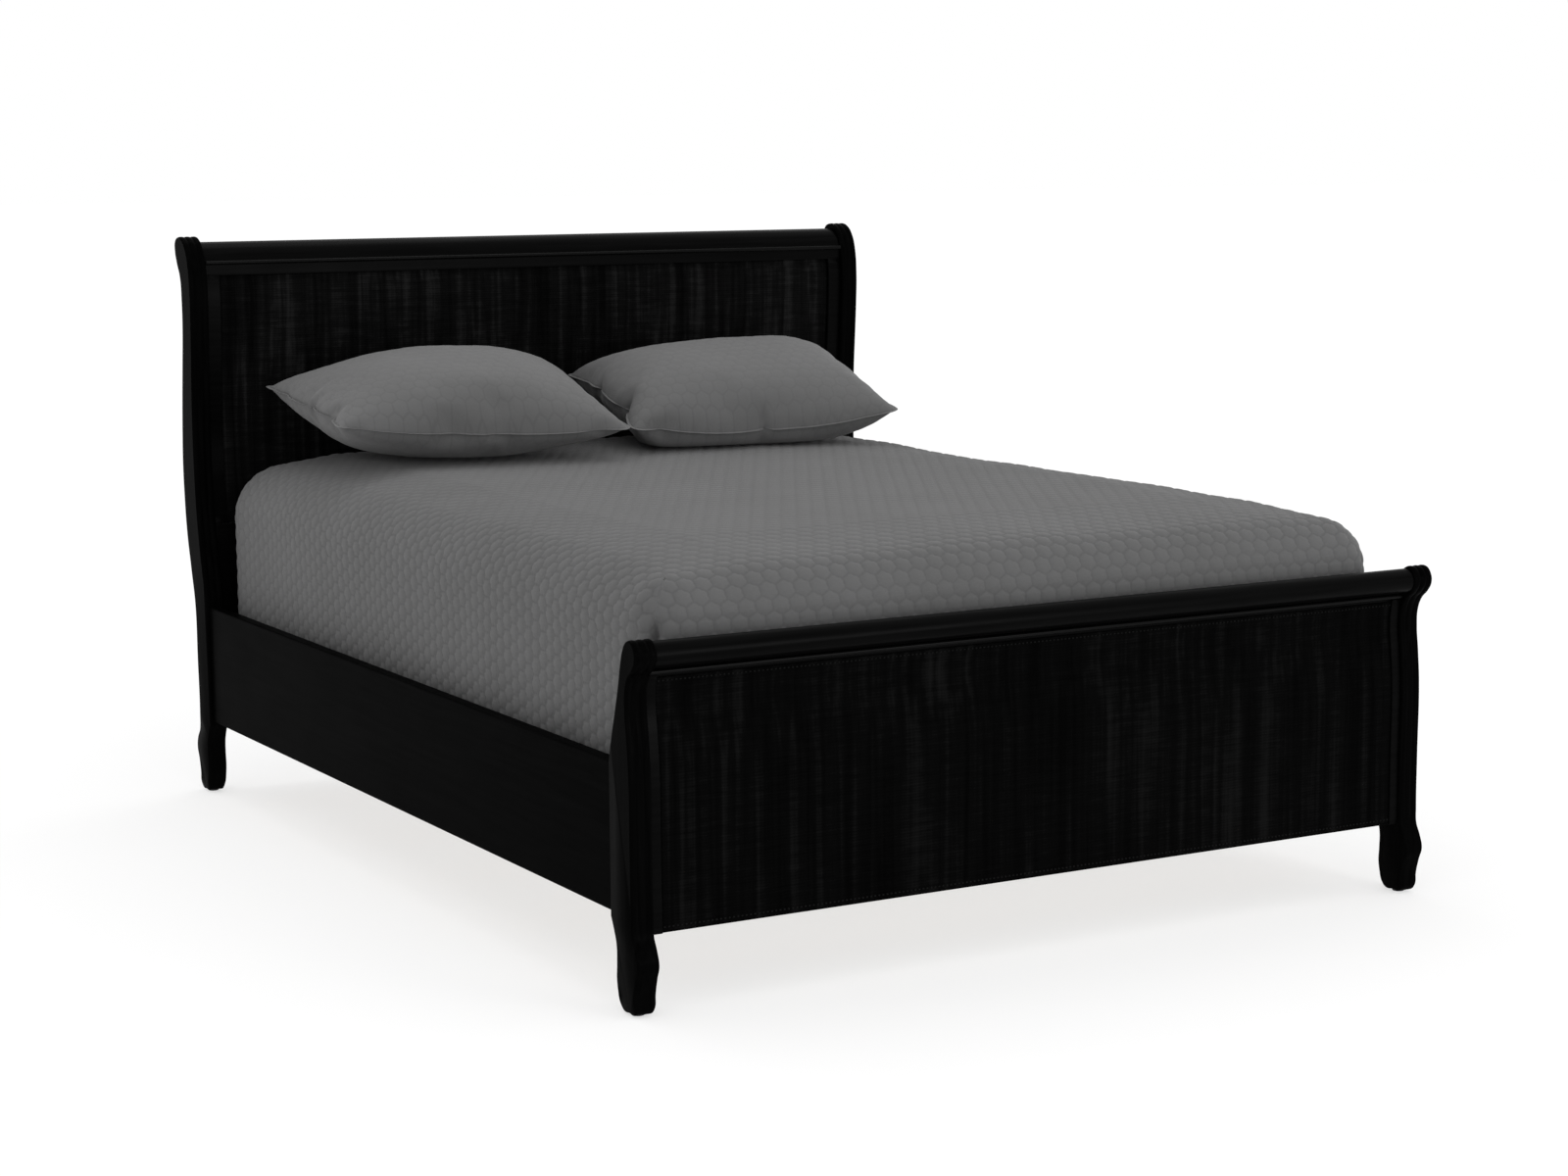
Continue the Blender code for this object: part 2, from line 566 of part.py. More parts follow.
def main():
    clear_scene()
    parts = new_collection("sleigh_bed")
    cutters = new_collection("cutters")
    paint = new_material("black_paint", PAINT, 0.32)
    fibre = new_material("woven_fibre", WOVEN_FIBRE, 0.55)
    steel = new_material("steel", STEEL, 0.40, 1.0)
    pine = new_material("pine", PINE, 0.60)
    nylon = new_material("nylon", NYLON, 0.45)
    ticking = new_material("ticking", TICKING, 0.90)
    quilt = new_material("quilted_cotton", QUILT_GREY, 0.92)

    make_posts(parts, cutters, paint)
    make_post_plates(parts, cutters, steel)
    make_hook_plates(parts, steel)
    make_side_rails(parts, cutters, paint, pine)
    make_slats(parts, pine)
    make_centre_legs(parts, cutters, pine, nylon)
    make_glides(parts, nylon)
    make_footboard(parts, paint, fibre)
    make_headboard(parts, paint, fibre)
    make_bedding(parts, ticking, quilt)
    for name, (centre, size, turn, recline) in PILLOWS.items():
        make_pillow(name, centre, size, turn, recline, quilt, parts)


main()
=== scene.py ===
"""Looks for the sleigh bed: fine shapes, cloth, materials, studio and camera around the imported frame."""

import math

import bmesh
import bpy
import numpy as np
from mathutils import Matrix, Vector


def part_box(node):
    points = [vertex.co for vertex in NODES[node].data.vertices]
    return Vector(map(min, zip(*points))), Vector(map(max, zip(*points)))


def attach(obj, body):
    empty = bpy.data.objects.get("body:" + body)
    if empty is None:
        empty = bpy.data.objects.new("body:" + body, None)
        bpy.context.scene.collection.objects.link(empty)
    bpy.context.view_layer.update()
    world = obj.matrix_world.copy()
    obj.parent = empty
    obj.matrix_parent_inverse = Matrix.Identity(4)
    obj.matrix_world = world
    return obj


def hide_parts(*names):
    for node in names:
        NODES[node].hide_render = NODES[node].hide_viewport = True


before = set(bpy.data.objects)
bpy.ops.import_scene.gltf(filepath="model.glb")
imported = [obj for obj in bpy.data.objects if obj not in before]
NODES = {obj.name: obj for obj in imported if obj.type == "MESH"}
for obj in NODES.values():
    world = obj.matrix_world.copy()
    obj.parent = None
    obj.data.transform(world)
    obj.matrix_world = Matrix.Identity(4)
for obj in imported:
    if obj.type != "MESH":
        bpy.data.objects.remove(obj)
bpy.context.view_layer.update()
SCENE = bpy.context.scene

FOOT, HEAD = -1, 1
END_NAMES = {FOOT: "foot", HEAD: "head"}
SIDES = (("left", -1), ("right", 1))
HALF_WIDTH, POST_WIDTH, GAP = 0.85, 0.042, 0.0003

# ---------------------------------------------------------------- outlines, as (out, height) in metres
FOOT_POST = [
    (1.026, 0.004), (1.045, 0.004), (1.064, 0.004), (1.0725, 0.013), (1.073, 0.036),
    (1.08, 0.066), (1.0875, 0.09), (1.08, 0.115), (1.0695, 0.137), (1.0675, 0.165), (1.0655, 0.27),
    (1.064, 0.41), (1.058, 0.473), (1.0525, 0.518), (1.054, 0.552), (1.064, 0.574), (1.079, 0.5885),
    (1.0892, 0.607), (1.085, 0.626), (1.071, 0.637), (1.054, 0.6335), (1.042, 0.617), (1.034, 0.592),
    (1.0245, 0.552), (1.012, 0.51), (0.998, 0.463), (0.988, 0.428, "corner"),
    (0.988, 0.16, "corner"), (0.999, 0.137), (1.007, 0.115), (1.008, 0.08), (1.007, 0.055),
    (1.012, 0.03), (1.017, 0.013),
]
HEAD_POST = [
    (1.009, 0.004), (1.0255, 0.004), (1.042, 0.004), (1.0495, 0.013), (1.049, 0.04),
    (1.056, 0.07), (1.065, 0.095), (1.06, 0.118), (1.044, 0.14), (1.04, 0.17), (1.041, 0.3),
    (1.043, 0.42), (1.061, 0.5), (1.079, 0.58), (1.0875, 0.665), (1.0892, 0.735), (1.085, 0.8),
    (1.078, 0.87), (1.068, 0.95), (1.0585, 1.03), (1.057, 1.09), (1.0625, 1.142), (1.079, 1.172),
    (1.0885, 1.198), (1.0867, 1.219), (1.068, 1.2295), (1.04, 1.223), (1.019, 1.202), (1.007, 1.172),
    (0.9995, 1.11), (1.001, 1.04), (1.006, 0.96), (1.0115, 0.88), (1.014, 0.78), (1.01, 0.66),
    (0.999, 0.57), (0.985, 0.5), (0.971, 0.432, "corner"), (0.971, 0.16, "corner"),
    (0.981, 0.14), (0.9895, 0.118), (0.991, 0.09), (0.9895, 0.06), (0.9945, 0.032), (1.0005, 0.013),
]
POST_FACE = {FOOT: 0.988, HEAD: 0.971}
FOOT_FACE = [
    (1.068, 0.137), (1.0655, 0.27), (1.064, 0.41), (1.058, 0.473), (1.0525, 0.518), (1.0532, 0.545),
    (1.057, 0.5715),
]
HEAD_FACE = [
    (1.003, 0.602), (1.01, 0.66), (1.014, 0.78), (1.0115, 0.88), (1.006, 0.96), (1.001, 1.04),
    (0.9995, 1.11), (1.003, 1.146),
]
FOOT_ROLL = [
    (1.03, 0.5716, "corner"), (1.045, 0.5716, "corner"), (1.046, 0.585), (1.058, 0.586),
    (1.072, 0.589), (1.083, 0.6), (1.085, 0.613), (1.077, 0.627), (1.062, 0.6325),
    (1.048, 0.627), (1.039, 0.614), (1.033, 0.594),
]
HEAD_ROLL = [
    (1.04, 1.1461, "corner"), (1.013, 1.1461, "corner"), (1.014, 1.164), (1.015, 1.178),
    (1.021, 1.193), (1.034, 1.208), (1.05, 1.216), (1.066, 1.217), (1.079, 1.209),
    (1.083, 1.196), (1.077, 1.182), (1.062, 1.17), (1.045, 1.162),
]
POSTS = {FOOT: FOOT_POST, HEAD: HEAD_POST}
FACES = {FOOT: FOOT_FACE, HEAD: HEAD_FACE}
ROLLS = {FOOT: FOOT_ROLL, HEAD: HEAD_ROLL}
STILE_WIDTH = {FOOT: 0.020, HEAD: 0.032}
# layers of an end, as their distances beyond its face
PANEL_LAYER = {FOOT: (-0.0305, -0.0125), HEAD: (0.0220, 0.0340)}
STILE_LAYER = {FOOT: (-0.0305, -0.0080), HEAD: (0.0120, 0.0340)}
BEAD_PLACE = {FOOT: (1.0515, 0.5782), HEAD: (1.0090, 1.1735)}
BEAD_RADIUS = 0.0045
WEAVE_STAND = 0.0013  # from the panel to the middle of the weave
SHARP_EDGE = 35.0  # degrees
CELL = 0.033  # width of a quilted cell across the bed
CELL_RISE = 0.0034


# ---------------------------------------------------------------- materials
def material(name, colour, roughness, metallic=0.0, specular=0.5):
    made = bpy.data.materials.new(name)
    made.use_nodes = True
    shader = made.node_tree.nodes["Principled BSDF"]
    shader.inputs["Base Color"].default_value = (*colour, 1)
    shader.inputs["Roughness"].default_value = roughness
    shader.inputs["Metallic"].default_value = metallic
    shader.inputs["Specular IOR Level"].default_value = specular
    return made, shader


class Nodes:
    """Short calls for building one material's node tree."""

    def __init__(self, made, shader):
        self.tree = made.node_tree
        self.shader = shader
        self.coords = self.tree.nodes.new("ShaderNodeTexCoord").outputs["Object"]

    def scaled(self, scale):
        mapping = self.tree.nodes.new("ShaderNodeMapping")
        mapping.inputs["Scale"].default_value = scale
        self.tree.links.new(self.coords, mapping.inputs["Vector"])
        return mapping.outputs["Vector"]

    def noise(self, scale, detail=3.0, size=1.0, distortion=0.0):
        node = self.tree.nodes.new("ShaderNodeTexNoise")
        node.inputs["Scale"].default_value = size
        node.inputs["Detail"].default_value = detail
        node.inputs["Distortion"].default_value = distortion
        self.tree.links.new(self.scaled(scale), node.inputs["Vector"])
        return node.outputs["Fac"]

    def bands(self, axis, pitch, distortion=0.0, detail_scale=1.0):
        node = self.tree.nodes.new("ShaderNodeTexWave")
        node.wave_type = "BANDS"
        node.bands_direction = axis
        node.inputs["Scale"].default_value = 0.314159 / pitch
        node.inputs["Distortion"].default_value = distortion
        node.inputs["Detail Scale"].default_value = detail_scale
        self.tree.links.new(self.coords, node.inputs["Vector"])
        return node.outputs["Fac"]

    def ramp(self, value, stops):
        node = self.tree.nodes.new("ShaderNodeValToRGB")
        node.color_ramp.elements[0].position = stops[0][0]
        node.color_ramp.elements[0].color = (*stops[0][1], 1)
        node.color_ramp.elements[1].position = stops[-1][0]
        node.color_ramp.elements[1].color = (*stops[-1][1], 1)
        for place, colour in stops[1:-1]:
            node.color_ramp.elements.new(place).color = (*colour, 1)
        self.tree.links.new(value, node.inputs["Fac"])
        return node.outputs["Color"]

    def math(self, operation, first, second):
        node = self.tree.nodes.new("ShaderNodeMath")
        node.operation = operation
        for socket, value in zip(node.inputs, (first, second)):
            if isinstance(value, (int, float)):
                socket.default_value = value
            else:
                self.tree.links.new(value, socket)
        return node.outputs["Value"]

    def spread(self, value, low, high):
        node = self.tree.nodes.new("ShaderNodeMapRange")
        node.inputs["To Min"].default_value = low
        node.inputs["To Max"].default_value = high
        self.tree.links.new(value, node.inputs["Value"])
        return node.outputs["Result"]

    def stitched_cells(self, cell):
        """How far a point of the flat cloth is from its cell's stitched outline: 0 on it, 1 in the middle."""
        separate = self.tree.nodes.new("ShaderNodeSeparateXYZ")
        self.tree.links.new(self.tree.nodes["Texture Coordinate"].outputs["UV"], separate.inputs["Vector"])
        u, v = separate.outputs["X"], separate.outputs["Y"]

        def from_centre(value, pitch, shift):
            turns = self.math("ADD", self.math("DIVIDE", value, pitch), shift)
            return self.math("ABSOLUTE", self.math("SUBTRACT", self.math("FLOORED_MODULO", turns, 1), 0.5), 0)

        nearest = []
        for shift in (0.0, 0.5):
            x = from_centre(u, cell, shift)
            y = self.math("MULTIPLY", from_centre(v, cell * math.sqrt(3), shift), math.sqrt(3))
            slanted = self.math("ADD", self.math("MULTIPLY", x, 0.5), self.math("MULTIPLY", y, math.sqrt(3) / 2))
            nearest.append(self.math("MAXIMUM", x, slanted))
        return self.math("SUBTRACT", 1, self.math("MULTIPLY", self.math("MINIMUM", *nearest), 2))

    def into(self, socket, value):
        self.tree.links.new(value, self.shader.inputs[socket])

    def bump(self, height, strength, distance):
        node = self.tree.nodes.new("ShaderNodeBump")
        node.inputs["Strength"].default_value = strength
        node.inputs["Distance"].default_value = distance
        self.tree.links.new(height, node.inputs["Height"])
        self.tree.links.new(node.outputs["Normal"], self.shader.inputs["Normal"])


def black_paint(name, along, shine):
    """Black satin paint over wood whose grain, faintly telegraphed, runs along X, Y or Z."""
    made, shader = material(name, (0.0020, 0.0020, 0.0020), 0.34, specular=shine)
    nodes = Nodes(made, shader)
    scale = {"X": (3, 70, 70), "Y": (70, 3, 70), "Z": (70, 70, 3)}[along]
    grain = nodes.noise(scale, 5.0, 1.6, 0.4)
    cloud = nodes.noise((7, 7, 7), 3.0)
    nodes.into("Base Color", nodes.ramp(grain, [(0.35, (0.0008,) * 3), (0.75, (0.0018,) * 3)]))
    nodes.into("Roughness", nodes.spread(cloud, 0.24, 0.42))
    nodes.bump(grain, 0.22, 0.0006)
    return made


def woven_fibre(name, pale):
    """Plant fibre dyed black: uneven upright strands crossed by fine horizontal ones."""
    made, shader = material(name, (0.003, 0.003, 0.003), 0.50, specular=0.010)
    nodes = Nodes(made, shader)
    streaks = nodes.noise((62, 62, 1.3), 6.0, 1.0, 0.3)
    patches = nodes.noise((5.0, 5.0, 2.4), 3.0)
    threads = nodes.noise((260, 260, 9), 4.0)
    wefts = nodes.bands("Z", 0.0052, 1.4, 2.0)
    tone = nodes.math("ADD", nodes.math("MULTIPLY", streaks, 0.75), nodes.math("MULTIPLY", patches, 0.45))
    dashes = nodes.math("MULTIPLY", nodes.noise((16, 16, 130), 2.0, 1.0, 0.2), 0.26)
    crossing = nodes.math("ADD", dashes, nodes.math("MULTIPLY", wefts, 0.05))
    tone = nodes.math("ADD", nodes.math("SUBTRACT", tone, 0.13), crossing)
    # pale brightens or darkens the whole tone: a copy painted paler or darker stands in for the light falling on it
    colours = [(0.45, (0.0006 * pale,) * 3), (0.66, (0.0022 * pale,) * 3), (0.86, (0.0080 * pale,) * 3)]
    nodes.into("Base Color", nodes.ramp(tone, colours))
    nodes.into("Roughness", nodes.spread(threads, 0.48, 0.72))
    nodes.bump(nodes.math("ADD", threads, nodes.math("MULTIPLY", wefts, 0.5)), 0.45, 0.0008)
    return made


def thread_cord():
    made, shader = material("thread_cord", (0.004, 0.004, 0.004), 0.6, specular=0.03)
    nodes = Nodes(made, shader)
    fluff = nodes.noise((900, 900, 900), 2.0)
    nodes.into("Base Color", nodes.ramp(fluff, [(0.3, (0.003,) * 3), (0.7, (0.008,) * 3)]))
    nodes.bump(fluff, 0.3, 0.0002)
    return made


def quilt_cloth(name, tone, line):
    """Stone-washed cotton, a little darker along the stitched outlines of its cells: painted shade, where the quilted
    grooves are shadowed.
    """
    made, shader = material(name, (tone, tone, tone), 0.93, specular=0.2)
    nodes = Nodes(made, shader)
    cloud = nodes.noise((4, 4, 4), 4.0)
    slub = nodes.noise((240, 40, 240), 4.0)
    fine = nodes.math("ADD", nodes.bands("X", 0.0016, 0.6, 4.0), nodes.bands("Y", 0.0016, 0.6, 4.0))
    mixed = nodes.math("ADD", nodes.math("MULTIPLY", cloud, 0.7), nodes.math("MULTIPLY", slub, 0.3))
    low, high = tone * 0.93, tone * 1.07
    cloth = nodes.ramp(mixed, [(0.3, (low,) * 3), (0.7, (high, high, high * 1.01))])
    inward = nodes.stitched_cells(CELL)
    # painted shade in the stitched grooves: darkest on the line, gone a little way into the cell
    shade = nodes.ramp(inward, [(0.0, (0.66,) * 3), (0.07, (0.72,) * 3), (0.17, (1.0,) * 3), (1.0, (1.0,) * 3)])
    mix = nodes.tree.nodes.new("ShaderNodeMix")
    mix.data_type, mix.blend_type = "RGBA", "MULTIPLY"
    # the painted groove shade is stronger in some places and weaker in others, by a slow noise; line sets its strength
    groove_shade_amount = nodes.spread(nodes.noise((3.1, 3.1, 3.1), 3.0), 0.1 * line, 1.9 * line)
    nodes.tree.links.new(groove_shade_amount, mix.inputs["Factor"])
    nodes.tree.links.new(cloth, mix.inputs["A"])
    nodes.tree.links.new(shade, mix.inputs["B"])
    nodes.into("Base Color", mix.outputs["Result"])
    shader.inputs["Sheen Weight"].default_value = 0.12
    shader.inputs["Sheen Roughness"].default_value = 0.5
    nodes.bump(nodes.math("ADD", fine, nodes.math("MULTIPLY", slub, 2.0)), 0.30, 0.0005)
    return made


def ticking_cloth(name):
    """Off-white mattress ticking with pairs of thin woven stripes."""
    made, shader = material(name, (0.60, 0.59, 0.56), 0.88, specular=0.2)
    nodes = Nodes(made, shader)
    stripes = nodes.bands("X", 0.030)
    blue, cream, pale = (0.23, 0.26, 0.31), (0.62, 0.61, 0.58), (0.66, 0.65, 0.62)
    colours = [(0.0, blue), (0.05, blue), (0.08, cream), (1.0, pale)]
    nodes.into("Base Color", nodes.ramp(stripes, colours))
    twill = nodes.math("ADD", nodes.bands("DIAGONAL", 0.0018), nodes.noise((300, 300, 300), 2.0))
    nodes.bump(twill, 0.35, 0.0005)
    return made


def pine_wood(name, along):
    made, shader = material(name, (0.56, 0.40, 0.23), 0.58, specular=0.35)
    nodes = Nodes(made, shader)
    scale = {"X": (1.2, 26, 26), "Y": (26, 1.2, 26), "Z": (26, 26, 1.2)}[along]
    fine = {"X": (9, 420, 420), "Y": (420, 9, 420), "Z": (420, 420, 9)}[along]
    rings = nodes.noise(scale, 4.0, 1.0, 1.6)
    fibres = nodes.noise(fine, 3.0)
    tone = nodes.math("ADD", nodes.math("MULTIPLY", rings, 0.8), nodes.math("MULTIPLY", fibres, 0.2))
    colours = [
        (0.32, (0.62, 0.46, 0.28)), (0.50, (0.52, 0.36, 0.20)),
        (0.60, (0.38, 0.23, 0.11)), (0.72, (0.58, 0.42, 0.25)),
    ]
    nodes.into("Base Color", nodes.ramp(tone, colours))
    nodes.into("Roughness", nodes.spread(fibres, 0.50, 0.68))
    nodes.bump(fibres, 0.25, 0.0004)
    return made


def zinc_steel(name):
    made, shader = material(name, (0.34, 0.34, 0.33), 0.38, metallic=1.0)
    nodes = Nodes(made, shader)
    brushed = nodes.noise((900, 900, 30), 3.0)
    spangle = nodes.noise((160, 160, 160), 2.0)
    nodes.into("Base Color", nodes.ramp(spangle, [(0.3, (0.27, 0.27, 0.27)), (0.7, (0.42, 0.42, 0.41))]))
    nodes.into("Roughness", nodes.spread(brushed, 0.28, 0.52))
    nodes.bump(brushed, 0.12, 0.0002)
    return made


def black_nylon(name):
    made, shader = material(name, (0.016, 0.016, 0.016), 0.5, specular=0.4)
    nodes = Nodes(made, shader)
    grain = nodes.noise((700, 700, 700), 2.0)
    nodes.into("Roughness", nodes.spread(grain, 0.42, 0.62))
    nodes.bump(grain, 0.3, 0.0002)
    return made


# ---------------------------------------------------------------- mesh helpers
def add_mesh(name, points, faces, finish, smooth=True, sharp=None):
    mesh = bpy.data.meshes.new(name)
    mesh.from_pydata(np.asarray(points, float).tolist(), [], [list(map(int, face)) for face in faces])
    mesh.update()
    return add_object(name, mesh, finish, smooth, sharp)


def add_object(name, mesh, finish, smooth=True, sharp=None):
    mesh.materials.clear()
    mesh.materials.append(finish)
    if smooth:
        mesh.shade_smooth()
        if sharp:
            mesh.set_sharp_from_angle(angle=math.radians(sharp))
    obj = bpy.data.objects.new(name, mesh)
    SCENE.collection.objects.link(obj)
    return obj


def evaluated_mesh(obj):
    """The mesh of an object with its modifiers applied."""
    bpy.context.view_layer.update()
    return bpy.data.meshes.new_from_object(obj.evaluated_get(bpy.context.evaluated_depsgraph_get()))


def apply_modifiers(obj):
    mesh = evaluated_mesh(obj)
    obj.modifiers.clear()
    obj.data = mesh


def grid_quads(grid):
    quads = [grid[:-1, :-1], grid[:-1, 1:], grid[1:, 1:], grid[1:, :-1]]
    return np.stack(quads, -1).reshape(-1, 4)


def tube_faces(rows, count):
    """Faces between the rows of a tube, each row a closed ring of `count` points."""
    faces = []
    for j in range(rows - 1):
        for i in range(count):
            k = (i + 1) % count
            faces.append((j * count + i, j * count + k, (j + 1) * count + k, (j + 1) * count + i))
    return faces


def numbered(count, faces):
    """The points that faces use, and each point's number among them."""
    used = np.unique(faces)
    numbers = np.full(count, -1)
    numbers[used] = np.arange(len(used))
    return used, numbers


def around(grid):
    """The values along the edge of a grid, once round it."""
    return np.concatenate([grid[0, :], grid[1:, -1], grid[-1, -2::-1], grid[-2:0:-1, 0]])


def place(obj, body, slot, *nodes):
    """Says which body the piece moves with and which CAD nodes it stands for. The slot it is finished from is given
    but not used.
    """
    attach(obj, body)
    if nodes:
        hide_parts(*nodes)
    return obj


def curve_points(points, steps, closed=True):
    """Points along the smooth curve through an outline, which turns sharply only at its corners."""
    curve = bpy.data.curves.new("outline", "CURVE")
    curve.dimensions = "2D"
    curve.fill_mode = "NONE"
    curve.resolution_u = steps
    spline = curve.splines.new("BEZIER")
    spline.bezier_points.add(len(points) - 1)
    spline.use_cyclic_u = closed
    for knot, point in zip(spline.bezier_points, points):
        knot.co = (point[0], point[1], 0)
        knot.handle_left_type = knot.handle_right_type = "VECTOR" if len(point) == 3 else "AUTO"
    obj = bpy.data.objects.new("outline", curve)
    SCENE.collection.objects.link(obj)
    mesh = evaluated_mesh(obj)
    line = np.array([vertex.co[:2] for vertex in mesh.vertices])
    bpy.data.objects.remove(obj, do_unlink=True)
    bpy.data.meshes.remove(mesh)
    keep = np.linalg.norm(line - np.roll(line, 1, axis=0), axis=1) > 1e-6
    return line[keep] if closed else line


def outward_normals(line, closed=True):
    """Unit normals of a line, to the right of its direction."""
    if closed:
        along = np.roll(line, -1, axis=0) - np.roll(line, 1, axis=0)
    else:
        along = np.gradient(line, axis=0)
    along /= np.linalg.norm(along, axis=1)[:, None]
    return np.stack([along[:, 1], -along[:, 0]], axis=1)


def loft(name, line, end, places, offsets, finish, sharp=SHARP_EDGE, squeeze=None):
    """A closed (out, height) line carried along X. offsets[j, i] moves point i outwards at place j."""
    normals = outward_normals(line)
    area = np.sum(line[:, 0] * np.roll(line[:, 1], -1) - np.roll(line[:, 0], -1) * line[:, 1])
    if area < 0:
        normals = -normals
    count, rows = len(line), []
    for j, x in enumerate(places):
        section = line + normals * offsets[j][:, None]
        xs = np.full(count, x) if squeeze is None else squeeze(x, section[:, 1])
        rows.append(np.stack([xs, end * section[:, 0], section[:, 1]], axis=1))
    flip = (area > 0) == (end > 0)
    faces = [face if flip else face[::-1] for face in tube_faces(len(places), count)]
    first = list(range(count))
    last = [(len(places) - 1) * count + i for i in range(count)]
    faces.append(first[::-1] if flip else first)
    faces.append(last if flip else last[::-1])
    obj = add_mesh(name, np.concatenate(rows), faces, finish, sharp=sharp)
    bm = bmesh.new()
    bm.from_mesh(obj.data)
    bmesh.ops.recalc_face_normals(bm, faces=bm.faces)
    bm.to_mesh(obj.data)
    bm.free()
    return obj


def cut_boxes(obj, boxes):
    """Cuts boxes, each a (low, high) pair, out of a mesh."""
    for low, high in boxes:
        low, high = Vector(low), Vector(high)
        bm = bmesh.new()
        bmesh.ops.create_cube(bm, size=1.0)
        bmesh.ops.scale(bm, vec=high - low, verts=bm.verts)
        bmesh.ops.translate(bm, vec=(low + high) / 2, verts=bm.verts)
        mesh = bpy.data.meshes.new("cutter")
        bm.to_mesh(mesh)
        bm.free()
        cutter = bpy.data.objects.new("cutter", mesh)
        SCENE.collection.objects.link(cutter)
        modifier = obj.modifiers.new("cut", "BOOLEAN")
        modifier.operation, modifier.solver, modifier.object = "DIFFERENCE", "EXACT", cutter
        apply_modifiers(obj)
        bpy.data.objects.remove(cutter, do_unlink=True)


def flat_coordinates(mesh, u, v):
    """Stores where each vertex lies on the flat cloth, which the stitching is drawn from."""
    layer = mesh.uv_layers.new(name="flat")
    corners = np.zeros(len(mesh.loops), np.int32)
    mesh.loops.foreach_get("vertex_index", corners)
    layer.data.foreach_set("uv", np.stack([u[corners], v[corners]], 1).astype(np.float32).ravel())


def smoothstep(low, high, value):
    share = np.clip((value - low) / (high - low), 0, 1)
    return share * share * (3 - 2 * share)


# ---------------------------------------------------------------- frame pieces
REED_WIDTH, REED_RISE = 0.014, 0.0028
POST_STATIONS = 31
POST_ROUNDING = 0.004
POCKET_DEPTH = 0.0140  # behind a post plate's outer side, for the rail's hooks


def make_post(name, outline, end, side, finish):
    """A post with three reeds along its curved edges, plain where the rail meets it, and a rounded foot."""
    line = curve_points(outline, 10)
    out, height = line[:, 0], line[:, 1]
    reeded = smoothstep(0.125, 0.175, height)
    on_rail_face = (out < POST_FACE[end] + 0.004) & (height > 0.15) & (height < 0.44)
    reeded = np.where(on_rail_face, 0.0, reeded)
    for _ in range(4):
        reeded = (np.roll(reeded, 1) + 2 * reeded + np.roll(reeded, -1)) / 4
    middle = side * (HALF_WIDTH - POST_WIDTH / 2)
    half = POST_WIDTH / 2
    angles = np.linspace(-math.pi / 2, math.pi / 2, POST_STATIONS)
    shares = np.clip(0.85 * np.linspace(-1, 1, POST_STATIONS) + 0.15 * np.sin(angles), -1, 1)
    offsets = []
    for share in shares:
        x = share * half
        within = ((x + half) % REED_WIDTH) / REED_WIDTH * 2 - 1
        if abs(abs(share) - 1) < 1e-9:
            within = 1.0
        reed = REED_RISE * (math.sqrt(max(0.0, 1 - within * within)) - 1)
        edge = max(0.0, abs(x) - (half - POST_ROUNDING)) / POST_ROUNDING
        plain = POST_ROUNDING * (math.sqrt(max(0.0, 1 - edge * edge)) - 1)
        offsets.append(reeded * reed + (1 - reeded) * plain)
    places = middle + shares * half

    def squeeze(x, heights):
        taper = 1 - 0.17 * (1 - smoothstep(0.0, 0.030, heights))
        return middle + (x - middle) * taper

    post = loft(name + "_reeded", line, end, places, offsets, finish, squeeze=squeeze)
    plate_low, plate_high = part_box(f"post_plate_{END_NAMES[end]}_{name.split('_')[-1]}")
    grow = Vector((GAP, GAP, GAP))
    recess_low, recess_high = plate_low - grow, plate_high + grow
    pocket_low, pocket_high = plate_low + Vector((0.005, 0, 0.012)), plate_high - Vector((0.005, 0, 0.012))
    if end > 0:
        recess_low.y, pocket_low.y = recess_low.y - 0.01, pocket_low.y - 0.01
        pocket_high.y = plate_low.y + POCKET_DEPTH
    else:
        recess_high.y, pocket_high.y = recess_high.y + 0.01, pocket_high.y + 0.01
        pocket_low.y = plate_high.y - POCKET_DEPTH
    cut_boxes(post, [(recess_low, recess_high), (pocket_low, pocket_high)])
    post.data.shade_smooth()
    post.data.set_sharp_from_angle(angle=math.radians(SHARP_EDGE))
    return place(post, "frame", "black_paint", name)


def straight(name, line, end, x_low, x_high, finish, rounding=0.001):
    """A section carried straight along X, with slightly eased ends."""
    places = [x_low, x_low + rounding, x_high - rounding, x_high]
    still, eased = np.zeros(len(line)), np.full(len(line), -rounding)
    return loft(name, line, end, places, [eased, still, still, eased], finish)


def strip_line(face, near, far, steps=6):
    """The outline of a strip that follows a face, between two distances beyond it."""
    first = [(out + near, height) for out, height in face]
    second = [(out + far, height) for out, height in reversed(face)]
    corners = (first[0], first[-1], second[0], second[-1])
    return curve_points([(*p, "corner") if p in corners else p for p in first + second], steps)


WEAVE_ROW, WEAVE_COLUMN = 0.0026, 0.0021  # spacing of the mesh up and across
STRAND_WIDTHS, STRANDS = (0.0055, 0.0125), 400
WEFT_PITCH, WEAVE_RELIEF, WEAVE_RIM = 0.0078, 0.0009, 0.0012
WEAVE_SEED = {FOOT: 6, HEAD: 5}


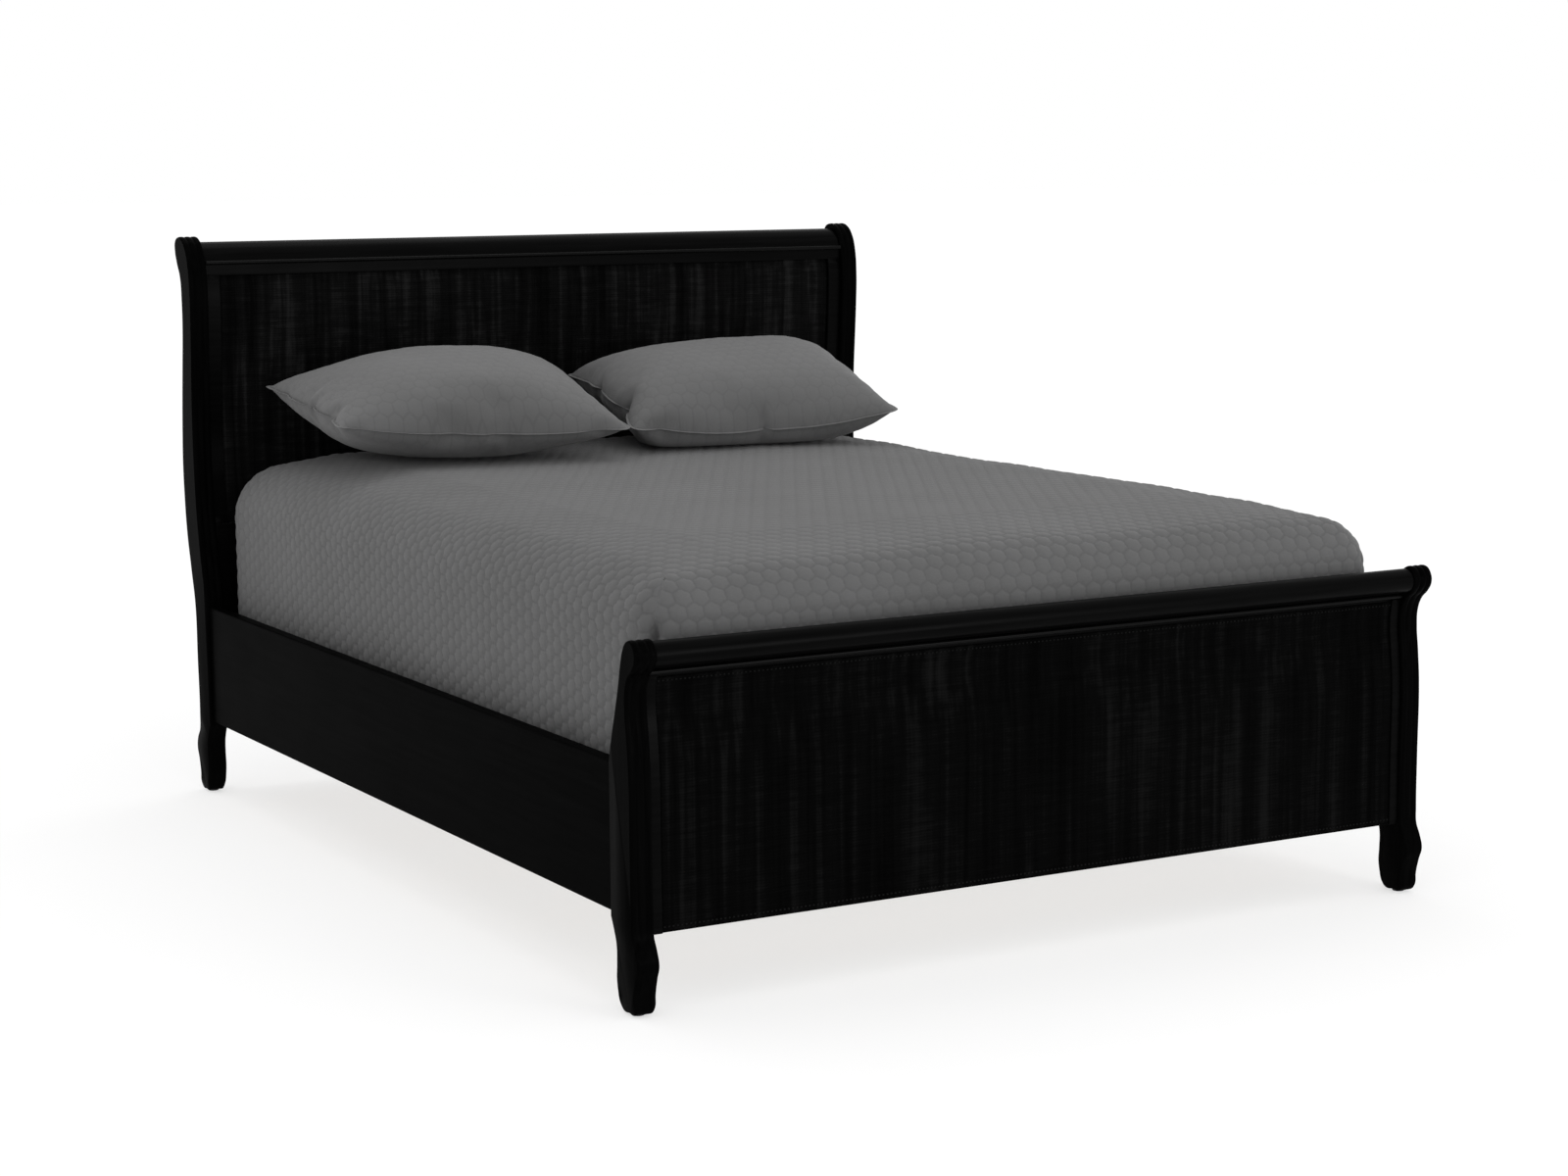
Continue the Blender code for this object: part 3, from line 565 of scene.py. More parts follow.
def make_weave(name, face, end, offset, half, bottom, top, finish):
    """A woven sheet with real relief: uneven upright strands over and under fine horizontal ones.
    Both sheets face -Y: the footboard's away from the bed, the headboard's towards it."""
    line = curve_points(face, 12, closed=False)
    heights = np.arange(bottom, top + 1e-9, (top - bottom) / round((top - bottom) / WEAVE_ROW))
    outs = np.interp(heights, line[:, 1], line[:, 0]) + offset
    columns = np.linspace(-half, half, round(2 * half / WEAVE_COLUMN))
    random = np.random.default_rng(WEAVE_SEED[end])
    widths = random.uniform(*STRAND_WIDTHS, STRANDS)
    edges = np.concatenate([[-half], -half + np.cumsum(widths)])
    strand = np.clip(np.searchsorted(edges, columns, side="right") - 1, 0, len(widths) - 1)
    within = (columns - edges[strand]) / widths[strand] * 2 - 1
    crown = np.sqrt(np.clip(1 - within**2, 0, 1))[None, :]
    rise = random.uniform(0.5, 1.0, STRANDS + 1)[strand][None, :]
    weft = heights / WEFT_PITCH
    row = np.floor(weft).astype(int)
    across = np.sqrt(np.clip(1 - ((weft - row) * 2 - 1) ** 2, 0, 1))[:, None]
    strand_on_top = (row[:, None] + strand[None, :]) % 2 > 0
    upright = crown * rise * (0.35 + 0.65 * across)
    level = 0.45 * across * (0.4 + 0.6 * crown)
    edge_fade = np.minimum(1, np.minimum(columns + half, half - columns) / 0.004)[None, :]
    relief = np.where(strand_on_top, upright, level) * WEAVE_RELIEF * edge_fade
    slope = np.gradient(outs, heights)
    norm = np.sqrt(1 + slope**2)
    facing = -end  # along `out`
    out = outs[:, None] + (facing / norm)[:, None] * relief
    z = heights[:, None] + (-facing * slope / norm)[:, None] * relief
    points = np.stack([np.broadcast_to(columns[None, :], relief.shape), end * out, z], axis=2).reshape(-1, 3)
    index = np.arange(relief.size).reshape(relief.shape)
    quads = grid_quads(index)
    # a thin rim turns back to the board behind
    rim = around(index)
    back = points[rim] + [0, WEAVE_RIM, 0]
    behind = len(points) + np.arange(len(rim))
    ring = np.stack([rim, behind, np.roll(behind, -1), np.roll(rim, -1)], axis=1)
    return add_mesh(name, np.concatenate([points, back]), np.concatenate([quads, ring]), finish)


STITCH_PITCH, STITCH_SIZE = 0.0082, (0.0026, 0.0013, 0.0019)


def make_stitches(name, face, end, offset, half, rows, finish):
    """Rows of small raised stitches along a panel, all one mesh."""
    line = curve_points(face, 12, closed=False)
    bm = bmesh.new()
    count = int(2 * half / STITCH_PITCH)
    for height in rows:
        out = float(np.interp(height, line[:, 1], line[:, 0])) + offset
        for x in np.linspace(-half, half, count):
            made = bmesh.ops.create_icosphere(bm, subdivisions=1, radius=1.0)
            bmesh.ops.scale(bm, vec=STITCH_SIZE, verts=made["verts"])
            bmesh.ops.translate(bm, vec=(float(x), end * out, height), verts=made["verts"])
    mesh = bpy.data.meshes.new(name)
    bm.to_mesh(mesh)
    bm.free()
    return add_object(name, mesh, finish)


def make_end_board(end, paint, bead_paint):
    """The roll, bead, panel and stiles of one end. Returns half the panel's width."""
    name, face = END_NAMES[end] + "board", FACES[end]
    inner = HALF_WIDTH - POST_WIDTH - GAP
    field = inner - STILE_WIDTH[end]

    def add(label, line, low, high, finish, node):
        place(straight(f"{name}_{label}", line, end, low, high, finish), "frame", "black_paint", f"{name}_{node}")

    add("roll", curve_points(ROLLS[end], 10), -inner, inner, paint, "top_roll")
    turns = np.linspace(0, math.tau, 20, endpoint=False)
    out, height = BEAD_PLACE[end]
    bead = np.stack([out + BEAD_RADIUS * np.cos(turns), height + BEAD_RADIUS * np.sin(turns)], axis=1)
    add("round_bead", bead, -inner, inner, bead_paint, "bead")
    add("board", strip_line(face, *PANEL_LAYER[end]), -field, field, paint, "panel")
    for label, side in SIDES:
        low, high = sorted((side * (field + GAP), side * inner))
        add("edge_" + label, strip_line(face, *STILE_LAYER[end]), low, high, paint, "stile_" + label)
    return field


def make_frame(finishes):
    for label, side in SIDES:
        for end in (FOOT, HEAD):
            make_post(f"{END_NAMES[end]}_post_{label}", POSTS[end], end, side, finishes["paint_z"])
    for end in (FOOT, HEAD):
        name = END_NAMES[end] + "board"
        field = make_end_board(end, finishes["paint_x"], finishes["paint_bead"])
        low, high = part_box(name + "_weave")
        if end == FOOT:
            offset = PANEL_LAYER[end][1] + GAP + WEAVE_STAND
        else:
            offset = PANEL_LAYER[end][0] - GAP - WEAVE_STAND
        fibre = finishes["fibre_" + END_NAMES[end]]
        weave = make_weave(name + "_cloth", FACES[end], end, offset, field, low.z, high.z, fibre)
        place(weave, "frame", "woven_fibre", name + "_weave")
        if end == FOOT:
            rows = (high.z - 0.006, low.z + 0.008)
            thread = finishes["thread"]
            stitches = make_stitches(name + "_stitches", FACES[end], end, offset + 0.0008, field - 0.004, rows, thread)
            place(stitches, "frame", "woven_fibre")


# ---------------------------------------------------------------- coverlet
FOLD_RADIUS = 0.090
RIM_HEIGHT = 0.7225  # where the bend over the mattress's edge begins
PLEAT_DEPTH = 0.017


def cell_height(u, v):
    """Relief of the honeycomb quilting, 0 along its stitched lines and 1 in the middle of a cell."""
    row_pitch = CELL * math.sqrt(3) / 2
    best = np.full(u.shape, 1e9)
    second = np.full(u.shape, 1e9)
    row = np.floor(v / row_pitch)
    for step in (-1, 0, 1, 2):
        this_row = row + step
        shift = np.where(this_row % 2 == 0, 0.0, 0.5 * CELL)
        column = np.round((u - shift) / CELL)
        for side in (-1, 0, 1):
            distance = np.hypot(u - shift - (column + side) * CELL, v - this_row * row_pitch)
            closer = distance < best
            second = np.where(closer, best, np.minimum(second, distance))
            best = np.where(closer, distance, best)
    edge = np.clip((second - best) / CELL, 0, 1)
    return np.sqrt(1 - (1 - edge) ** 2.4)


def waves(u, v):
    """A slow, uneven swell of the bedding, about -1 to 1."""
    return (
        np.sin(5.1 * u + 2.3 * v + 0.7) * np.sin(3.7 * v - 1.9 * u + 1.9) * 0.5
        + np.sin(11.0 * u - 4.3 * v + 2.1) * np.sin(9.1 * v + 3.1 * u) * 0.3
        + np.sin(23.0 * u + 7.0 * v + 0.4) * np.sin(17.0 * v - 11.0 * u + 5.0) * 0.2
    )


def make_coverlet(finish):
    """One cloth laid over the mattress, bent down all round, with its corners cut out and sewn to a pleat.
    (u, v) is a place on the flat cloth, measured from its middle."""
    low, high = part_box("coverlet")
    r = FOLD_RADIUS
    middle_y = (low.y + high.y) / 2
    hx, hy = (high.x - low.x) / 2 - r, (high.y - low.y) / 2 - r
    rim, crown = RIM_HEIGHT, high.z - RIM_HEIGHT
    skirt = rim - r - low.z
    arc = r * math.pi / 2
    corner = r * math.pi / 4
    step = CELL / 6
    rise = step * math.sqrt(3) / 2
    reach_u, reach_v = hx + arc + skirt, hy + arc + skirt
    n_u, n_v = int(math.ceil(reach_u / step)), int(math.ceil(reach_v / rise))
    index_u, index_v = np.meshgrid(np.arange(-n_u - 1, n_u + 2), np.arange(-n_v - 1, n_v + 2))
    u = (index_u + 0.5 * (index_v % 2)) * step
    v = index_v * rise
    rows, cols = u.shape
    grid = np.arange(rows * cols).reshape(rows, cols)
    even = (index_v % 2 == 0)[:-1, :-1]
    a, b, c, d = grid[:-1, :-1], grid[:-1, 1:], grid[1:, 1:], grid[1:, :-1]
    lower = np.where(even[..., None], np.stack([a, b, d], -1), np.stack([a, b, c], -1)).reshape(-1, 3)
    upper = np.where(even[..., None], np.stack([b, c, d], -1), np.stack([a, c, d], -1)).reshape(-1, 3)
    triangles = np.concatenate([lower, upper])
    u, v = u.ravel(), v.ravel()

    def zones(au, av):
        """Which points hang at the sides of the bed, and which at its ends."""
        side = (au > hx) & (au - hx >= av - hy)
        return side, (av > hy) & ~side

    def reach(past):
        """How far a corner's cloth reaches round it, at a distance past the edge of the flat top."""
        return corner * np.sin(np.clip(past / r, 0, math.pi / 2))

    def inside(pu, pv, slack):
        au, av = np.abs(pu), np.abs(pv)
        side, end = zones(au, av)
        limit_side = hy + reach(au - hx) + slack
        limit_end = hx + reach(av - hy) + slack
        kept = (au <= reach_u + slack) & (av <= reach_v + slack)
        return kept & (~side | (av <= limit_side)) & (~end | (au <= limit_end))

    keep = inside(u, v, step * 1.05)
    triangles = triangles[keep[triangles].all(axis=1)]

    def held(pu, pv, slack):
        """Brings points past the edge of the cut, or past the seam of a corner, back onto it."""
        au, av = np.minimum(np.abs(pu), reach_u - slack), np.minimum(np.abs(pv), reach_v - slack)
        side, end = zones(au, av)
        limit_v = hy + reach(au - hx) - slack
        limit_u = hx + reach(av - hy) - slack
        au, av = np.where(end, np.minimum(au, limit_u), au), np.where(side, np.minimum(av, limit_v), av)
        return np.sign(pu) * au, np.sign(pv) * av

    def drape(pu, pv):
        au, av = np.abs(pu), np.abs(pv)
        su, sv = np.sign(pu), np.sign(pv)
        side, end = zones(au, av)
        main = np.where(side, au - hx, np.where(end, av - hy, 0.0))
        theta = np.clip(main / r, 0, math.pi / 2)
        out = r * np.sin(theta)
        drop = r * (1 - np.cos(theta)) + np.maximum(0.0, main - arc)
        other = np.where(side, av - hy, np.where(end, au - hx, 0.0))
        bent = np.where(side | end, np.maximum(0.0, other), 0.0)
        phi = np.clip(bent / np.maximum(out, 1e-6), 0, math.pi / 4)
        along, turned = out * np.cos(phi), out * np.sin(phi)
        x = np.where(side, hx + along, np.where(end, np.where(other > 0, hx + turned, au), au))
        y = np.where(end, hy + along, np.where(side, np.where(other > 0, hy + turned, av), av))
        share_x = np.clip(1 - (np.minimum(au, hx + r) / (hx + r)) ** 2, 0, 1)
        share_y = np.clip(1 - (np.minimum(av, hy + r) / (hy + r)) ** 2, 0, 1)
        lift = crown * np.minimum(1, 2 * share_x) * np.minimum(1, np.where(pv > 0, 7, 2) * share_y)
        fade = np.clip(1 - main / arc, 0, 1)
        z = rim - drop + lift * fade
        return np.stack([su * x, sv * y + middle_y, z], axis=-1)

    e = 1e-5
    held_u, held_v = held(u, v, 2 * e)
    base = drape(held_u, held_v)
    tangent_u = drape(held_u + e, held_v) - drape(held_u - e, held_v)
    tangent_v = drape(held_u, held_v + e) - drape(held_u, held_v - e)
    normal = np.cross(tangent_u, tangent_v)
    length = np.linalg.norm(normal, axis=1)
    normal = np.where(length[:, None] > 1e-12, normal / np.maximum(length, 1e-12)[:, None], [0, 0, 1])
    au, av = np.abs(u), np.abs(v)
    main = np.maximum(au - hx, av - hy)
    limit = reach(main)
    seam = np.where(au - hx >= av - hy, hy + limit - av, hx + limit - au)
    on_skirt = smoothstep(0.75 * arc, 1.1 * arc, main)
    seam = np.maximum(seam, 0)
    groove = on_skirt * (np.exp(-((seam / 0.009) ** 2)) - 0.22 * np.exp(-(((seam - 0.026) / 0.012) ** 2)))
    hanging = smoothstep(0.3 * arc, arc + 0.06, main)
    flat_on_top = 0.6 + 0.4 * smoothstep(-0.10, 0.02, main)
    relief = CELL_RISE * flat_on_top * (cell_height(u, v) - 1)
    near_edge = smoothstep(0.5, 0.0, np.minimum(hx - au, hy - av))
    swell = (0.0020 + 0.0030 * near_edge) * waves(u, v) - 0.0045 * hanging * (0.5 + 0.5 * waves(2.3 * u + 1, 2.3 * v))
    sewn = smoothstep(0.0, 0.4 * arc, main) * smoothstep(0.012, 0.0, seam)
    relief = relief * (1 - sewn) - 0.5 * CELL_RISE * sewn
    swell = swell * (1 - smoothstep(0.0, 0.4 * arc, main) * smoothstep(0.10, 0.0, seam))
    points = base + normal * (relief + swell - 0.0020 - PLEAT_DEPTH * groove)[:, None]
    used, renumber = numbered(len(points), triangles)
    coverlet = add_mesh("quilted_coverlet", points[used], renumber[triangles], finish)
    flat_coordinates(coverlet.data, u[used], v[used])
    place(coverlet, "mattress", "quilted_cotton", "coverlet")


# ---------------------------------------------------------------- pillows
# turn about Z and recline are in degrees; slim narrows the ends above and below, and under the front
# of the underside; droop lowers the back left corner, sag the front seam
PILLOWS = {
    "pillow_left": {
        "centre": (-0.383, 0.690, 0.879), "extent": (0.655, 0.500, 0.214), "turn": -3.5, "recline": 9.5,
        "twist": 0.017, "droop": 0.0, "slim": (0.30, 0.10), "under": 0.30, "sag": 0.024, "seed": 3,
    },
    "pillow_right": {
        "centre": (0.330, 0.704, 0.878), "extent": (0.630, 0.475, 0.204), "turn": -9.0, "recline": 14.0,
        "twist": -0.010, "droop": 0.050, "slim": (0.12, 0.05), "under": 0.0, "sag": 0.038, "seed": 8,
    },
}
PILLOW_STEP = 0.0085
CLOTH_FRAMES = 40
PRESSED = 0.012  # how far above the bed a pillow's underside begins to flatten


def simulate_pillow(name, width, depth, seed):
    """Two flat cloths sewn at their edges and blown up, so that the seams pull in and crease as a pillow's do."""
    nx, ny = round(width / PILLOW_STEP), round(depth / PILLOW_STEP)
    gx, gy = np.meshgrid(np.linspace(-1, 1, nx), np.linspace(-1, 1, ny))
    swell = 0.010 * (1 - gx**6) * (1 - gy**6) + 0.0005
    random = np.random.default_rng(seed)
    jitter = random.uniform(-0.0008, 0.0008, gx.shape)
    bowed = gx * (1 + 0.07 * (1 - gy**2)) * width / 2, gy * (1 + 0.035 * (1 - gx**2)) * depth / 2
    top = np.stack([*bowed, swell + jitter * (swell > 0.002)], -1).reshape(-1, 3)
    bottom = top * [1, 1, -1]
    index = np.arange(nx * ny).reshape(ny, nx)
    border = np.zeros((ny, nx), bool)
    border[0], border[-1], border[:, 0], border[:, -1] = True, True, True, True
    lower = np.where(border, index, index + nx * ny)
    top[border.ravel(), 2] = 0
    points = np.concatenate([top, bottom])
    quads = np.concatenate([grid_quads(index), grid_quads(lower)[:, [0, 3, 2, 1]]])
    used, renumber = numbered(len(points), quads)
    mesh = bpy.data.meshes.new(name)
    mesh.from_pydata(points[used].tolist(), [], renumber[quads].tolist())
    obj = bpy.data.objects.new(name, mesh)
    SCENE.collection.objects.link(obj)
    cloth = obj.modifiers.new("cloth", "CLOTH")
    settings = cloth.settings
    settings.quality = 6
    settings.mass = 0.25
    settings.tension_stiffness = settings.compression_stiffness = 18
    settings.shear_stiffness = 6
    settings.bending_stiffness = 0.6
    settings.use_pressure = True
    settings.uniform_pressure_force = 9
    settings.effector_weights.gravity = 0
    cloth.collision_settings.use_collision = False
    cloth.collision_settings.use_self_collision = False
    cloth.point_cache.frame_start, cloth.point_cache.frame_end = 1, CLOTH_FRAMES
    for number in range(1, CLOTH_FRAMES + 1):
        SCENE.frame_set(number)
    apply_modifiers(obj)
    SCENE.frame_set(1)
    ring = around(index)
    within = around(index[np.clip(np.arange(ny), 1, ny - 2)][:, np.clip(np.arange(nx), 1, nx - 2)])
    return obj, renumber[ring], renumber[within], renumber[within + nx * ny]


def eased(co, quads, ring, rounds):
    """Takes out the sharpest creases. The seam is eased only along itself, and its corners stay."""
    first, second = quads.ravel(), np.roll(quads, -1, axis=1).ravel()
    on_seam = np.zeros(len(co), bool)
    on_seam[ring] = True
    turn = np.roll(co[ring], -1, axis=0) + np.roll(co[ring], 1, axis=0) - 2 * co[ring]
    corner = np.zeros(len(ring), bool)
    corner[np.argsort(-np.linalg.norm(turn[:, :2], axis=1))[:4]] = True
    for _ in range(rounds):
        total, count = np.zeros_like(co), np.zeros(len(co))
        for a, b in ((first, second), (second, first)):
            np.add.at(total, a, co[b])
            np.add.at(count, a, 1)
        mean = total / count[:, None]
        line = (np.roll(co[ring], -1, axis=0) + np.roll(co[ring], 1, axis=0)) / 2
        moved = np.where(on_seam[:, None], co, 0.4 * co + 0.6 * mean)
        moved[ring] = np.where(corner[:, None], co[ring], 0.5 * co[ring] + 0.5 * line)
        co = moved
    return co


def add_seam(co, quads, ring, above, below):
    """A narrow stitched edge all round, standing out from the seam."""
    count = len(ring)
    out = co[ring] - (co[above] + co[below]) / 2
    for _ in range(3):
        out = (np.roll(out, 1, axis=0) + 2 * out + np.roll(out, -1, axis=0)) / 4
    out /= np.linalg.norm(out, axis=1)[:, None]
    along = np.roll(co[ring], -1, axis=0) - np.roll(co[ring], 1, axis=0)
    up = np.cross(along, out)
    up /= np.linalg.norm(up, axis=1)[:, None]
    upper = [(-0.004, 0.0008), (0.0022, 0.0012), (0.0060, 0.0008)]
    section = upper + [(a, -b) for a, b in reversed(upper)]
    points = np.concatenate([co[ring] + a * out + b * up for a, b in section])
    start, following = len(co), np.roll(np.arange(count), -1)
    faces = []
    for k in range(6):
        near, far = start + k * count, start + (k + 1) % 6 * count
        here = np.arange(count)
        faces.append(np.stack([near + here, near + following, far + following, far + here], 1))
    return np.concatenate([co, points]), np.concatenate([quads] + faces), np.concatenate([ring] * 6)


def make_pillow(node, finish, centre, extent, turn, recline, twist, droop, slim, under, sag, seed):
    width, depth, thickness = extent
    raw, ring, above, below = simulate_pillow("pillow_shape", width * 1.06, depth * 1.08, seed)
    co = np.array([vertex.co for vertex in raw.data.vertices], float)
    quads = np.array([polygon.vertices[:] for polygon in raw.data.polygons])
    rest_u, rest_v = co[:, 0].copy(), co[:, 1].copy()
    co = eased(co, quads, ring, 5)
    size = co.max(axis=0) - co.min(axis=0)
    co *= np.array([width, depth, thickness]) / size
    co[:, 2] *= 1 - np.where(co[:, 2] > 0, *slim) * smoothstep(0.35, 1.0, np.abs(co[:, 0]) / width * 2)
    raw.data.vertices.foreach_set("co", co.astype(np.float32).ravel())
    raw.data.update()
    normals = np.zeros(len(co) * 3, np.float32)
    raw.data.vertex_normals.foreach_get("vector", normals)
    co += normals.reshape(-1, 3) * (0.0014 * cell_height(rest_u, rest_v) - 0.0014)[:, None]
    bpy.data.objects.remove(raw, do_unlink=True)
    co, quads, origin = add_seam(co, quads, ring, above, below)
    rest_u, rest_v = np.concatenate([rest_u, rest_u[origin]]), np.concatenate([rest_v, rest_v[origin]])
    matrix = Matrix.Rotation(math.radians(turn), 4, "Z") @ Matrix.Rotation(math.radians(recline), 4, "X")
    rotation = np.array(matrix.to_3x3())
    across, along = 2 * co[:, 0] / width, 2 * co[:, 1] / depth
    co[:, 2] *= 1 - np.where(co[:, 2] < 0, under, 0) * smoothstep(0.1, -0.9, along)
    co[:, 2] -= sag * np.clip(1 - across**2, 0, 1) * np.clip((1 - along) / 2, 0, 1)
    co[:, 2] += twist * across * along - droop * np.clip((1 - across) * (1 + along) / 4, 0, 1) ** 2
    co = co @ rotation.T + np.array(centre)
    # where it lies on the bed it is pressed flat
    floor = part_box("coverlet")[1].z + 0.0015
    depth_below = floor - co[:, 2]
    pressed = floor + PRESSED * np.exp(-(depth_below + PRESSED) / PRESSED)
    co[:, 2] = np.where(depth_below > -PRESSED, pressed, co[:, 2])
    obj = add_mesh("sham_" + node.split("_")[1], co, quads, finish)
    flat_coordinates(obj.data, rest_u, rest_v)
    smooth = obj.modifiers.new("smooth", "SUBSURF")
    smooth.levels = smooth.render_levels = 1
    apply_modifiers(obj)
    place(obj, node, "quilted_cotton", node)


# ---------------------------------------------------------------- mattress and foundation
def rounded_rectangle(half_x, half_y, radius, steps=8):
    points = []
    for quarter in range(4):
        cx = (half_x - radius) * (1 if quarter in (0, 3) else -1)
        cy = (half_y - radius) * (1 if quarter in (0, 1) else -1)
        for step in range(steps + 1):
            angle = math.pi / 2 * (quarter + step / steps)
            points.append((cx + radius * math.cos(angle), cy + radius * math.sin(angle)))
    return np.array(points)


BLOCK_CORNER, BLOCK_FOOT = 0.100, 0.030  # rounding of a block's upright corners and of its lower edge
CORD_RADIUS = 0.0045


def make_block(node, finishes, crown, shoulder):
    """An upholstered block: rounded at its corners, with a swelling border and a corded edge above and below."""
    name = "ticking_" + node
    low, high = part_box(node)
    top = high.z - crown
    middle_y = (low.y + high.y) / 2
    hx, hy, r = (high.x - low.x) / 2, (high.y - low.y) / 2, BLOCK_CORNER
    rows = []
    height = top - low.z
    edge = BLOCK_FOOT
    # each level of the side, as its height and how far it lies outside (above 0) the block's box
    levels = [(low.z + edge * (1 - math.cos(a)), -edge * (1 - math.sin(a))) for a in np.linspace(0, math.pi / 2, 5)]
    for share in np.linspace(0, 1, 9)[1:-1]:
        z = low.z + edge + share * (height - edge - shoulder)
        levels.append((z, -0.004 * (0.5 + 0.5 * math.cos(math.tau * share))))
    for a in np.linspace(math.pi / 2, 0, 8):
        levels.append((top - shoulder * (1 - math.cos(a)), -shoulder * (1 - math.sin(a))))
    for z, inset in levels:
        ring = rounded_rectangle(hx + inset, hy + inset, r + inset * 0.5)
        rows.append(np.column_stack([ring, np.full(len(ring), z)]))
    count = len(rows[0])
    for inset in (0.12, 0.25, 0.42):
        ring = rounded_rectangle(hx - inset, hy - inset, 0.05)
        share = min(1.0, inset / 0.25)
        rows.append(np.column_stack([ring, np.full(len(ring), top + crown * share)]))
    points = np.concatenate(rows)
    points[:, 1] += middle_y
    faces = tube_faces(len(rows), count)
    faces.append(tuple(range(count))[::-1])
    faces.append(tuple((len(rows) - 1) * count + i for i in range(count)))
    block = add_mesh(name, points, faces, finishes["ticking"])
    place(block, node, "ticking", node)
    for text, z in (("lower", low.z + edge * 0.55), ("upper", top - shoulder * 0.9)):
        curve = bpy.data.curves.new(name + "_cord_" + text, "CURVE")
        curve.dimensions = "3D"
        curve.bevel_depth = CORD_RADIUS
        curve.bevel_resolution = 3
        spline = curve.splines.new("POLY")
        ring = rounded_rectangle(hx - 0.0055, hy - 0.0055, r - 0.004)
        spline.points.add(len(ring) - 1)
        spline.use_cyclic_u = True
        for knot, (x, y) in zip(spline.points, ring):
            knot.co = (x, y + middle_y, z, 1)
        cord = bpy.data.objects.new(curve.name, curve)
        SCENE.collection.objects.link(cord)
        mesh = evaluated_mesh(cord)
        label = cord.name
        bpy.data.objects.remove(cord, do_unlink=True)
        place(add_object(label, mesh, finishes["cording"]), node, "ticking")


# ---------------------------------------------------------------- studio
def make_studio():
    world = bpy.data.worlds.new("studio")
    world.use_nodes = True
    background = world.node_tree.nodes["Background"]
    background.inputs["Color"].default_value = (1, 1, 1, 1)
    background.inputs["Strength"].default_value = 1.0
    SCENE.world = world
    SCENE.view_settings.view_transform = "Standard"
    mesh = bpy.data.meshes.new("floor")
    size = 60
    mesh.from_pydata([(-size, -size, 0), (size, -size, 0), (size, size, 0), (-size, size, 0)], [], [(0, 1, 2, 3)])
    floor = bpy.data.objects.new("floor", mesh)
    floor.location.z = -0.0005
    SCENE.collection.objects.link(floor)
    made = bpy.data.materials.new("floor")
    made.use_nodes = True
    tree = made.node_tree
    shader = tree.nodes["Principled BSDF"]
    shader.inputs["Base Color"].default_value = (0.42, 0.42, 0.42, 1)
    shader.inputs["Roughness"].default_value = 1.0
    shader.inputs["Specular IOR Level"].default_value = 0.0
    shader.inputs["Emission Color"].default_value = (1, 1, 1, 1)
    shader.inputs["Emission Strength"].default_value = 0.60
    mesh.materials.append(made)
    for name, place_at, aim, wide, deep, radiance in (
        ("overhead", (-0.4, 1.6, 3.4), (0, -0.3, 0.6), 3.0, 0.5, 2.4),
        ("front_left", (-1.2, -5.6, 1.7), (0, 0, 0.5), 1.2, 1.2, 4.0),
        ("front_right", (1.7, -5.4, 1.2), (-0.2, -0.3, 0.6), 1.6, 1.2, 8.0),
    ):
        data = bpy.data.lights.new(name, "AREA")
        data.shape, data.size, data.size_y = "RECTANGLE", wide, deep
        data.energy = radiance * math.pi * wide * deep
        light = bpy.data.objects.new(name, data)
        light.location = place_at
        light.rotation_euler = (Vector(aim) - Vector(place_at)).to_track_quat("-Z", "Y").to_euler()
        SCENE.collection.objects.link(light)


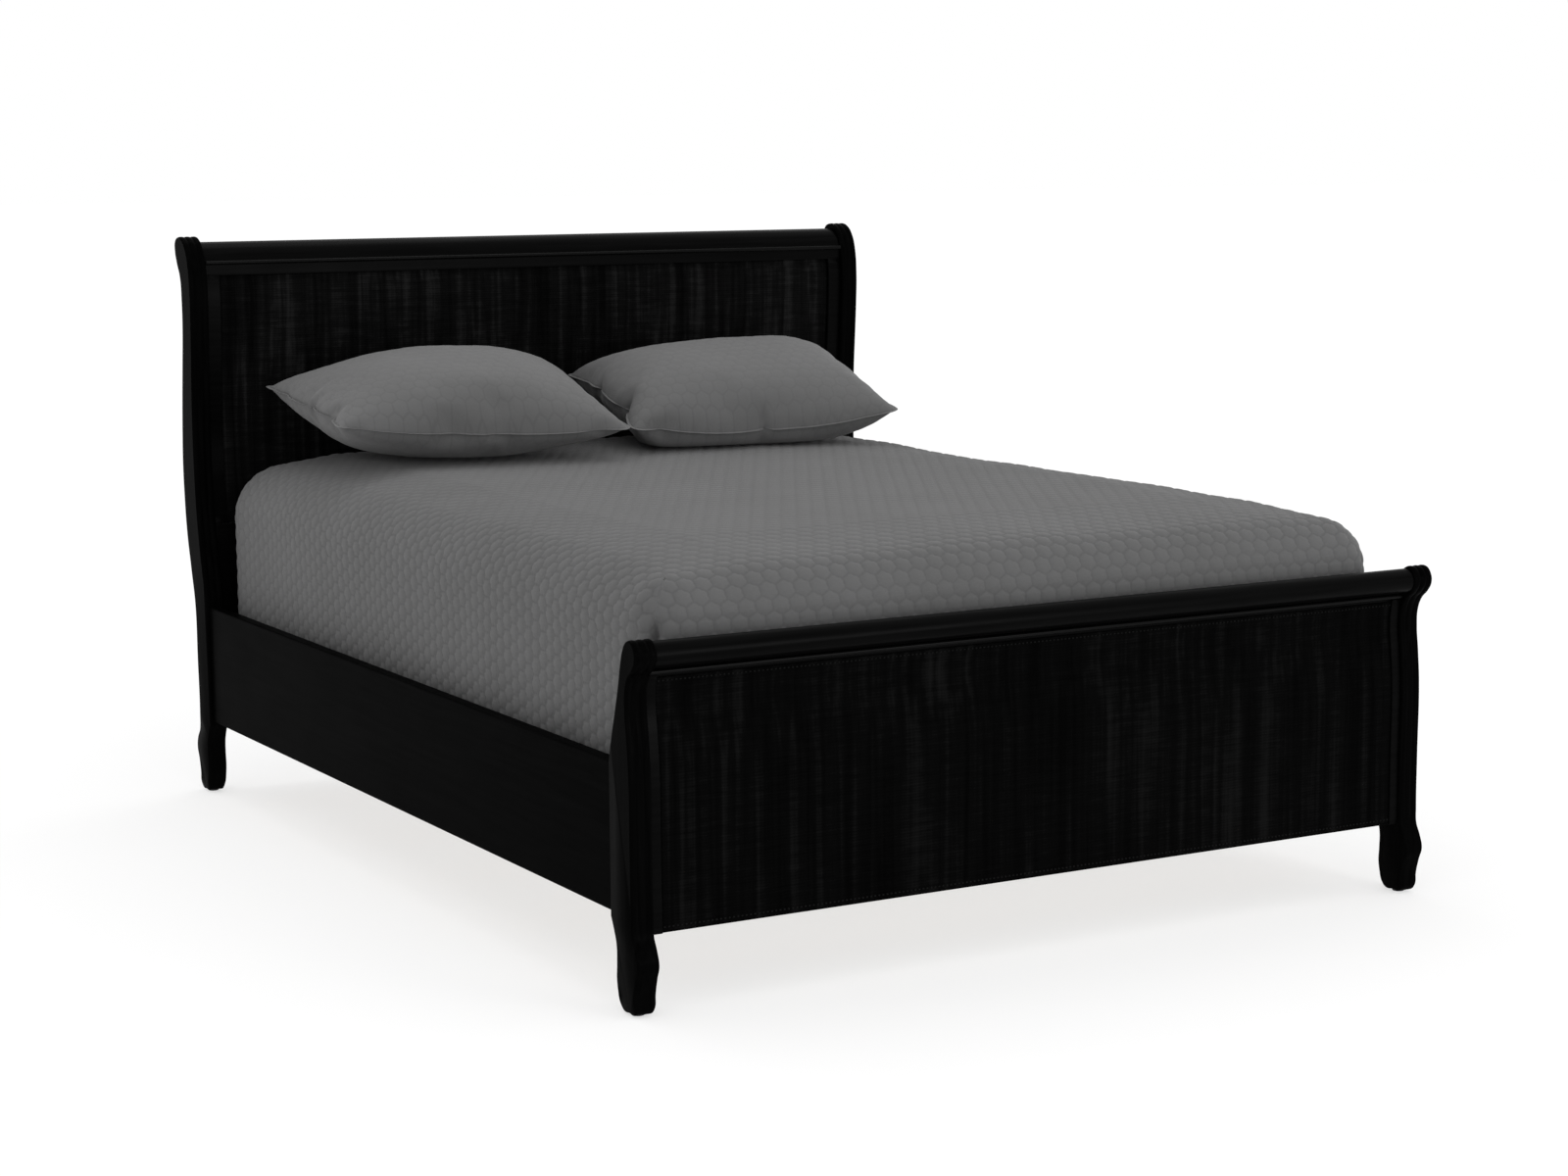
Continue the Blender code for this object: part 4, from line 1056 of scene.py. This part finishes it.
def make_camera():
    """The photo's view: from the front left, looking a little down, 30 degrees off the bed's length."""
    yaw, pitch, roll = math.radians(30.07), math.radians(10.27), math.radians(-0.212)
    forward = Vector((math.sin(yaw) * math.cos(pitch), math.cos(yaw) * math.cos(pitch), -math.sin(pitch)))
    right = Vector((math.cos(yaw), -math.sin(yaw), 0))
    up = right.cross(forward)
    right, up = math.cos(roll) * right + math.sin(roll) * up, math.cos(roll) * up - math.sin(roll) * right
    data = bpy.data.cameras.new("camera")
    data.sensor_width, data.lens = 36, 70.03
    data.shift_y = 0.0625
    data.clip_start, data.clip_end = 0.1, 200
    camera = bpy.data.objects.new("camera", data)
    matrix = Matrix((right, up, -forward)).transposed().to_4x4()
    matrix.translation = (-3.0798, -5.4233, 1.4475)
    camera.matrix_world = matrix
    SCENE.collection.objects.link(camera)
    SCENE.camera = camera


# ---------------------------------------------------------------- everything together
def finish_cad_nodes(finishes):
    """Gives each CAD node that stays its detailed material."""
    by_name = {
        "slat": "pine_x", "ledger": "pine_y", "centre_leg": "pine_z", "leveller": "nylon", "glide": "nylon",
        "post_plate": "steel", "rail_hook": "steel", "side_rail": "paint_y",
    }
    for name, node in NODES.items():
        chosen = [finish for start, finish in by_name.items() if name.startswith(start)]
        made = finishes[chosen[0] if chosen else "paint_x"]
        node.data.materials.clear()
        node.data.materials.append(made)


def main():
    finishes = {
        "paint_x": black_paint("black_paint_across", "X", 0.022),
        "paint_y": black_paint("black_paint_along", "Y", 0.002),
        "paint_bead": black_paint("black_paint_bead", "X", 0.060),
        "paint_z": black_paint("black_paint_upright", "Z", 0.0035),
        # painted light: one fibre in two copies, the headboard's painted paler and the footboard's darker, as the
        # light falls on them
        "fibre_foot": woven_fibre("fibre_cloth_foot", 0.6),
        "fibre_head": woven_fibre("fibre_cloth_head", 1.7),
        "thread": thread_cord(),
        "pine_x": pine_wood("pine_across", "X"),
        "pine_y": pine_wood("pine_along", "Y"),
        "pine_z": pine_wood("pine_upright", "Z"),
        "steel": zinc_steel("zinc_steel"),
        "nylon": black_nylon("black_nylon"),
        # the third figure sets how strong the painted shade along the quilted grooves is
        "quilt": quilt_cloth("quilt_cloth", 0.096, 0.27),
        "sham": quilt_cloth("sham_cloth", 0.110, 0.26),
        "ticking": ticking_cloth("ticking_cloth"),
        "cording": quilt_cloth("cording_cloth", 0.30, 0.0),
    }
    finish_cad_nodes(finishes)
    make_frame(finishes)
    make_block("foundation", finishes, crown=0.0, shoulder=0.030)
    make_block("mattress", finishes, crown=0.0325, shoulder=0.068)
    make_coverlet(finishes["quilt"])
    for node in PILLOWS:
        make_pillow(node, finishes["sham"], **PILLOWS[node])
    make_studio()
    make_camera()


main()
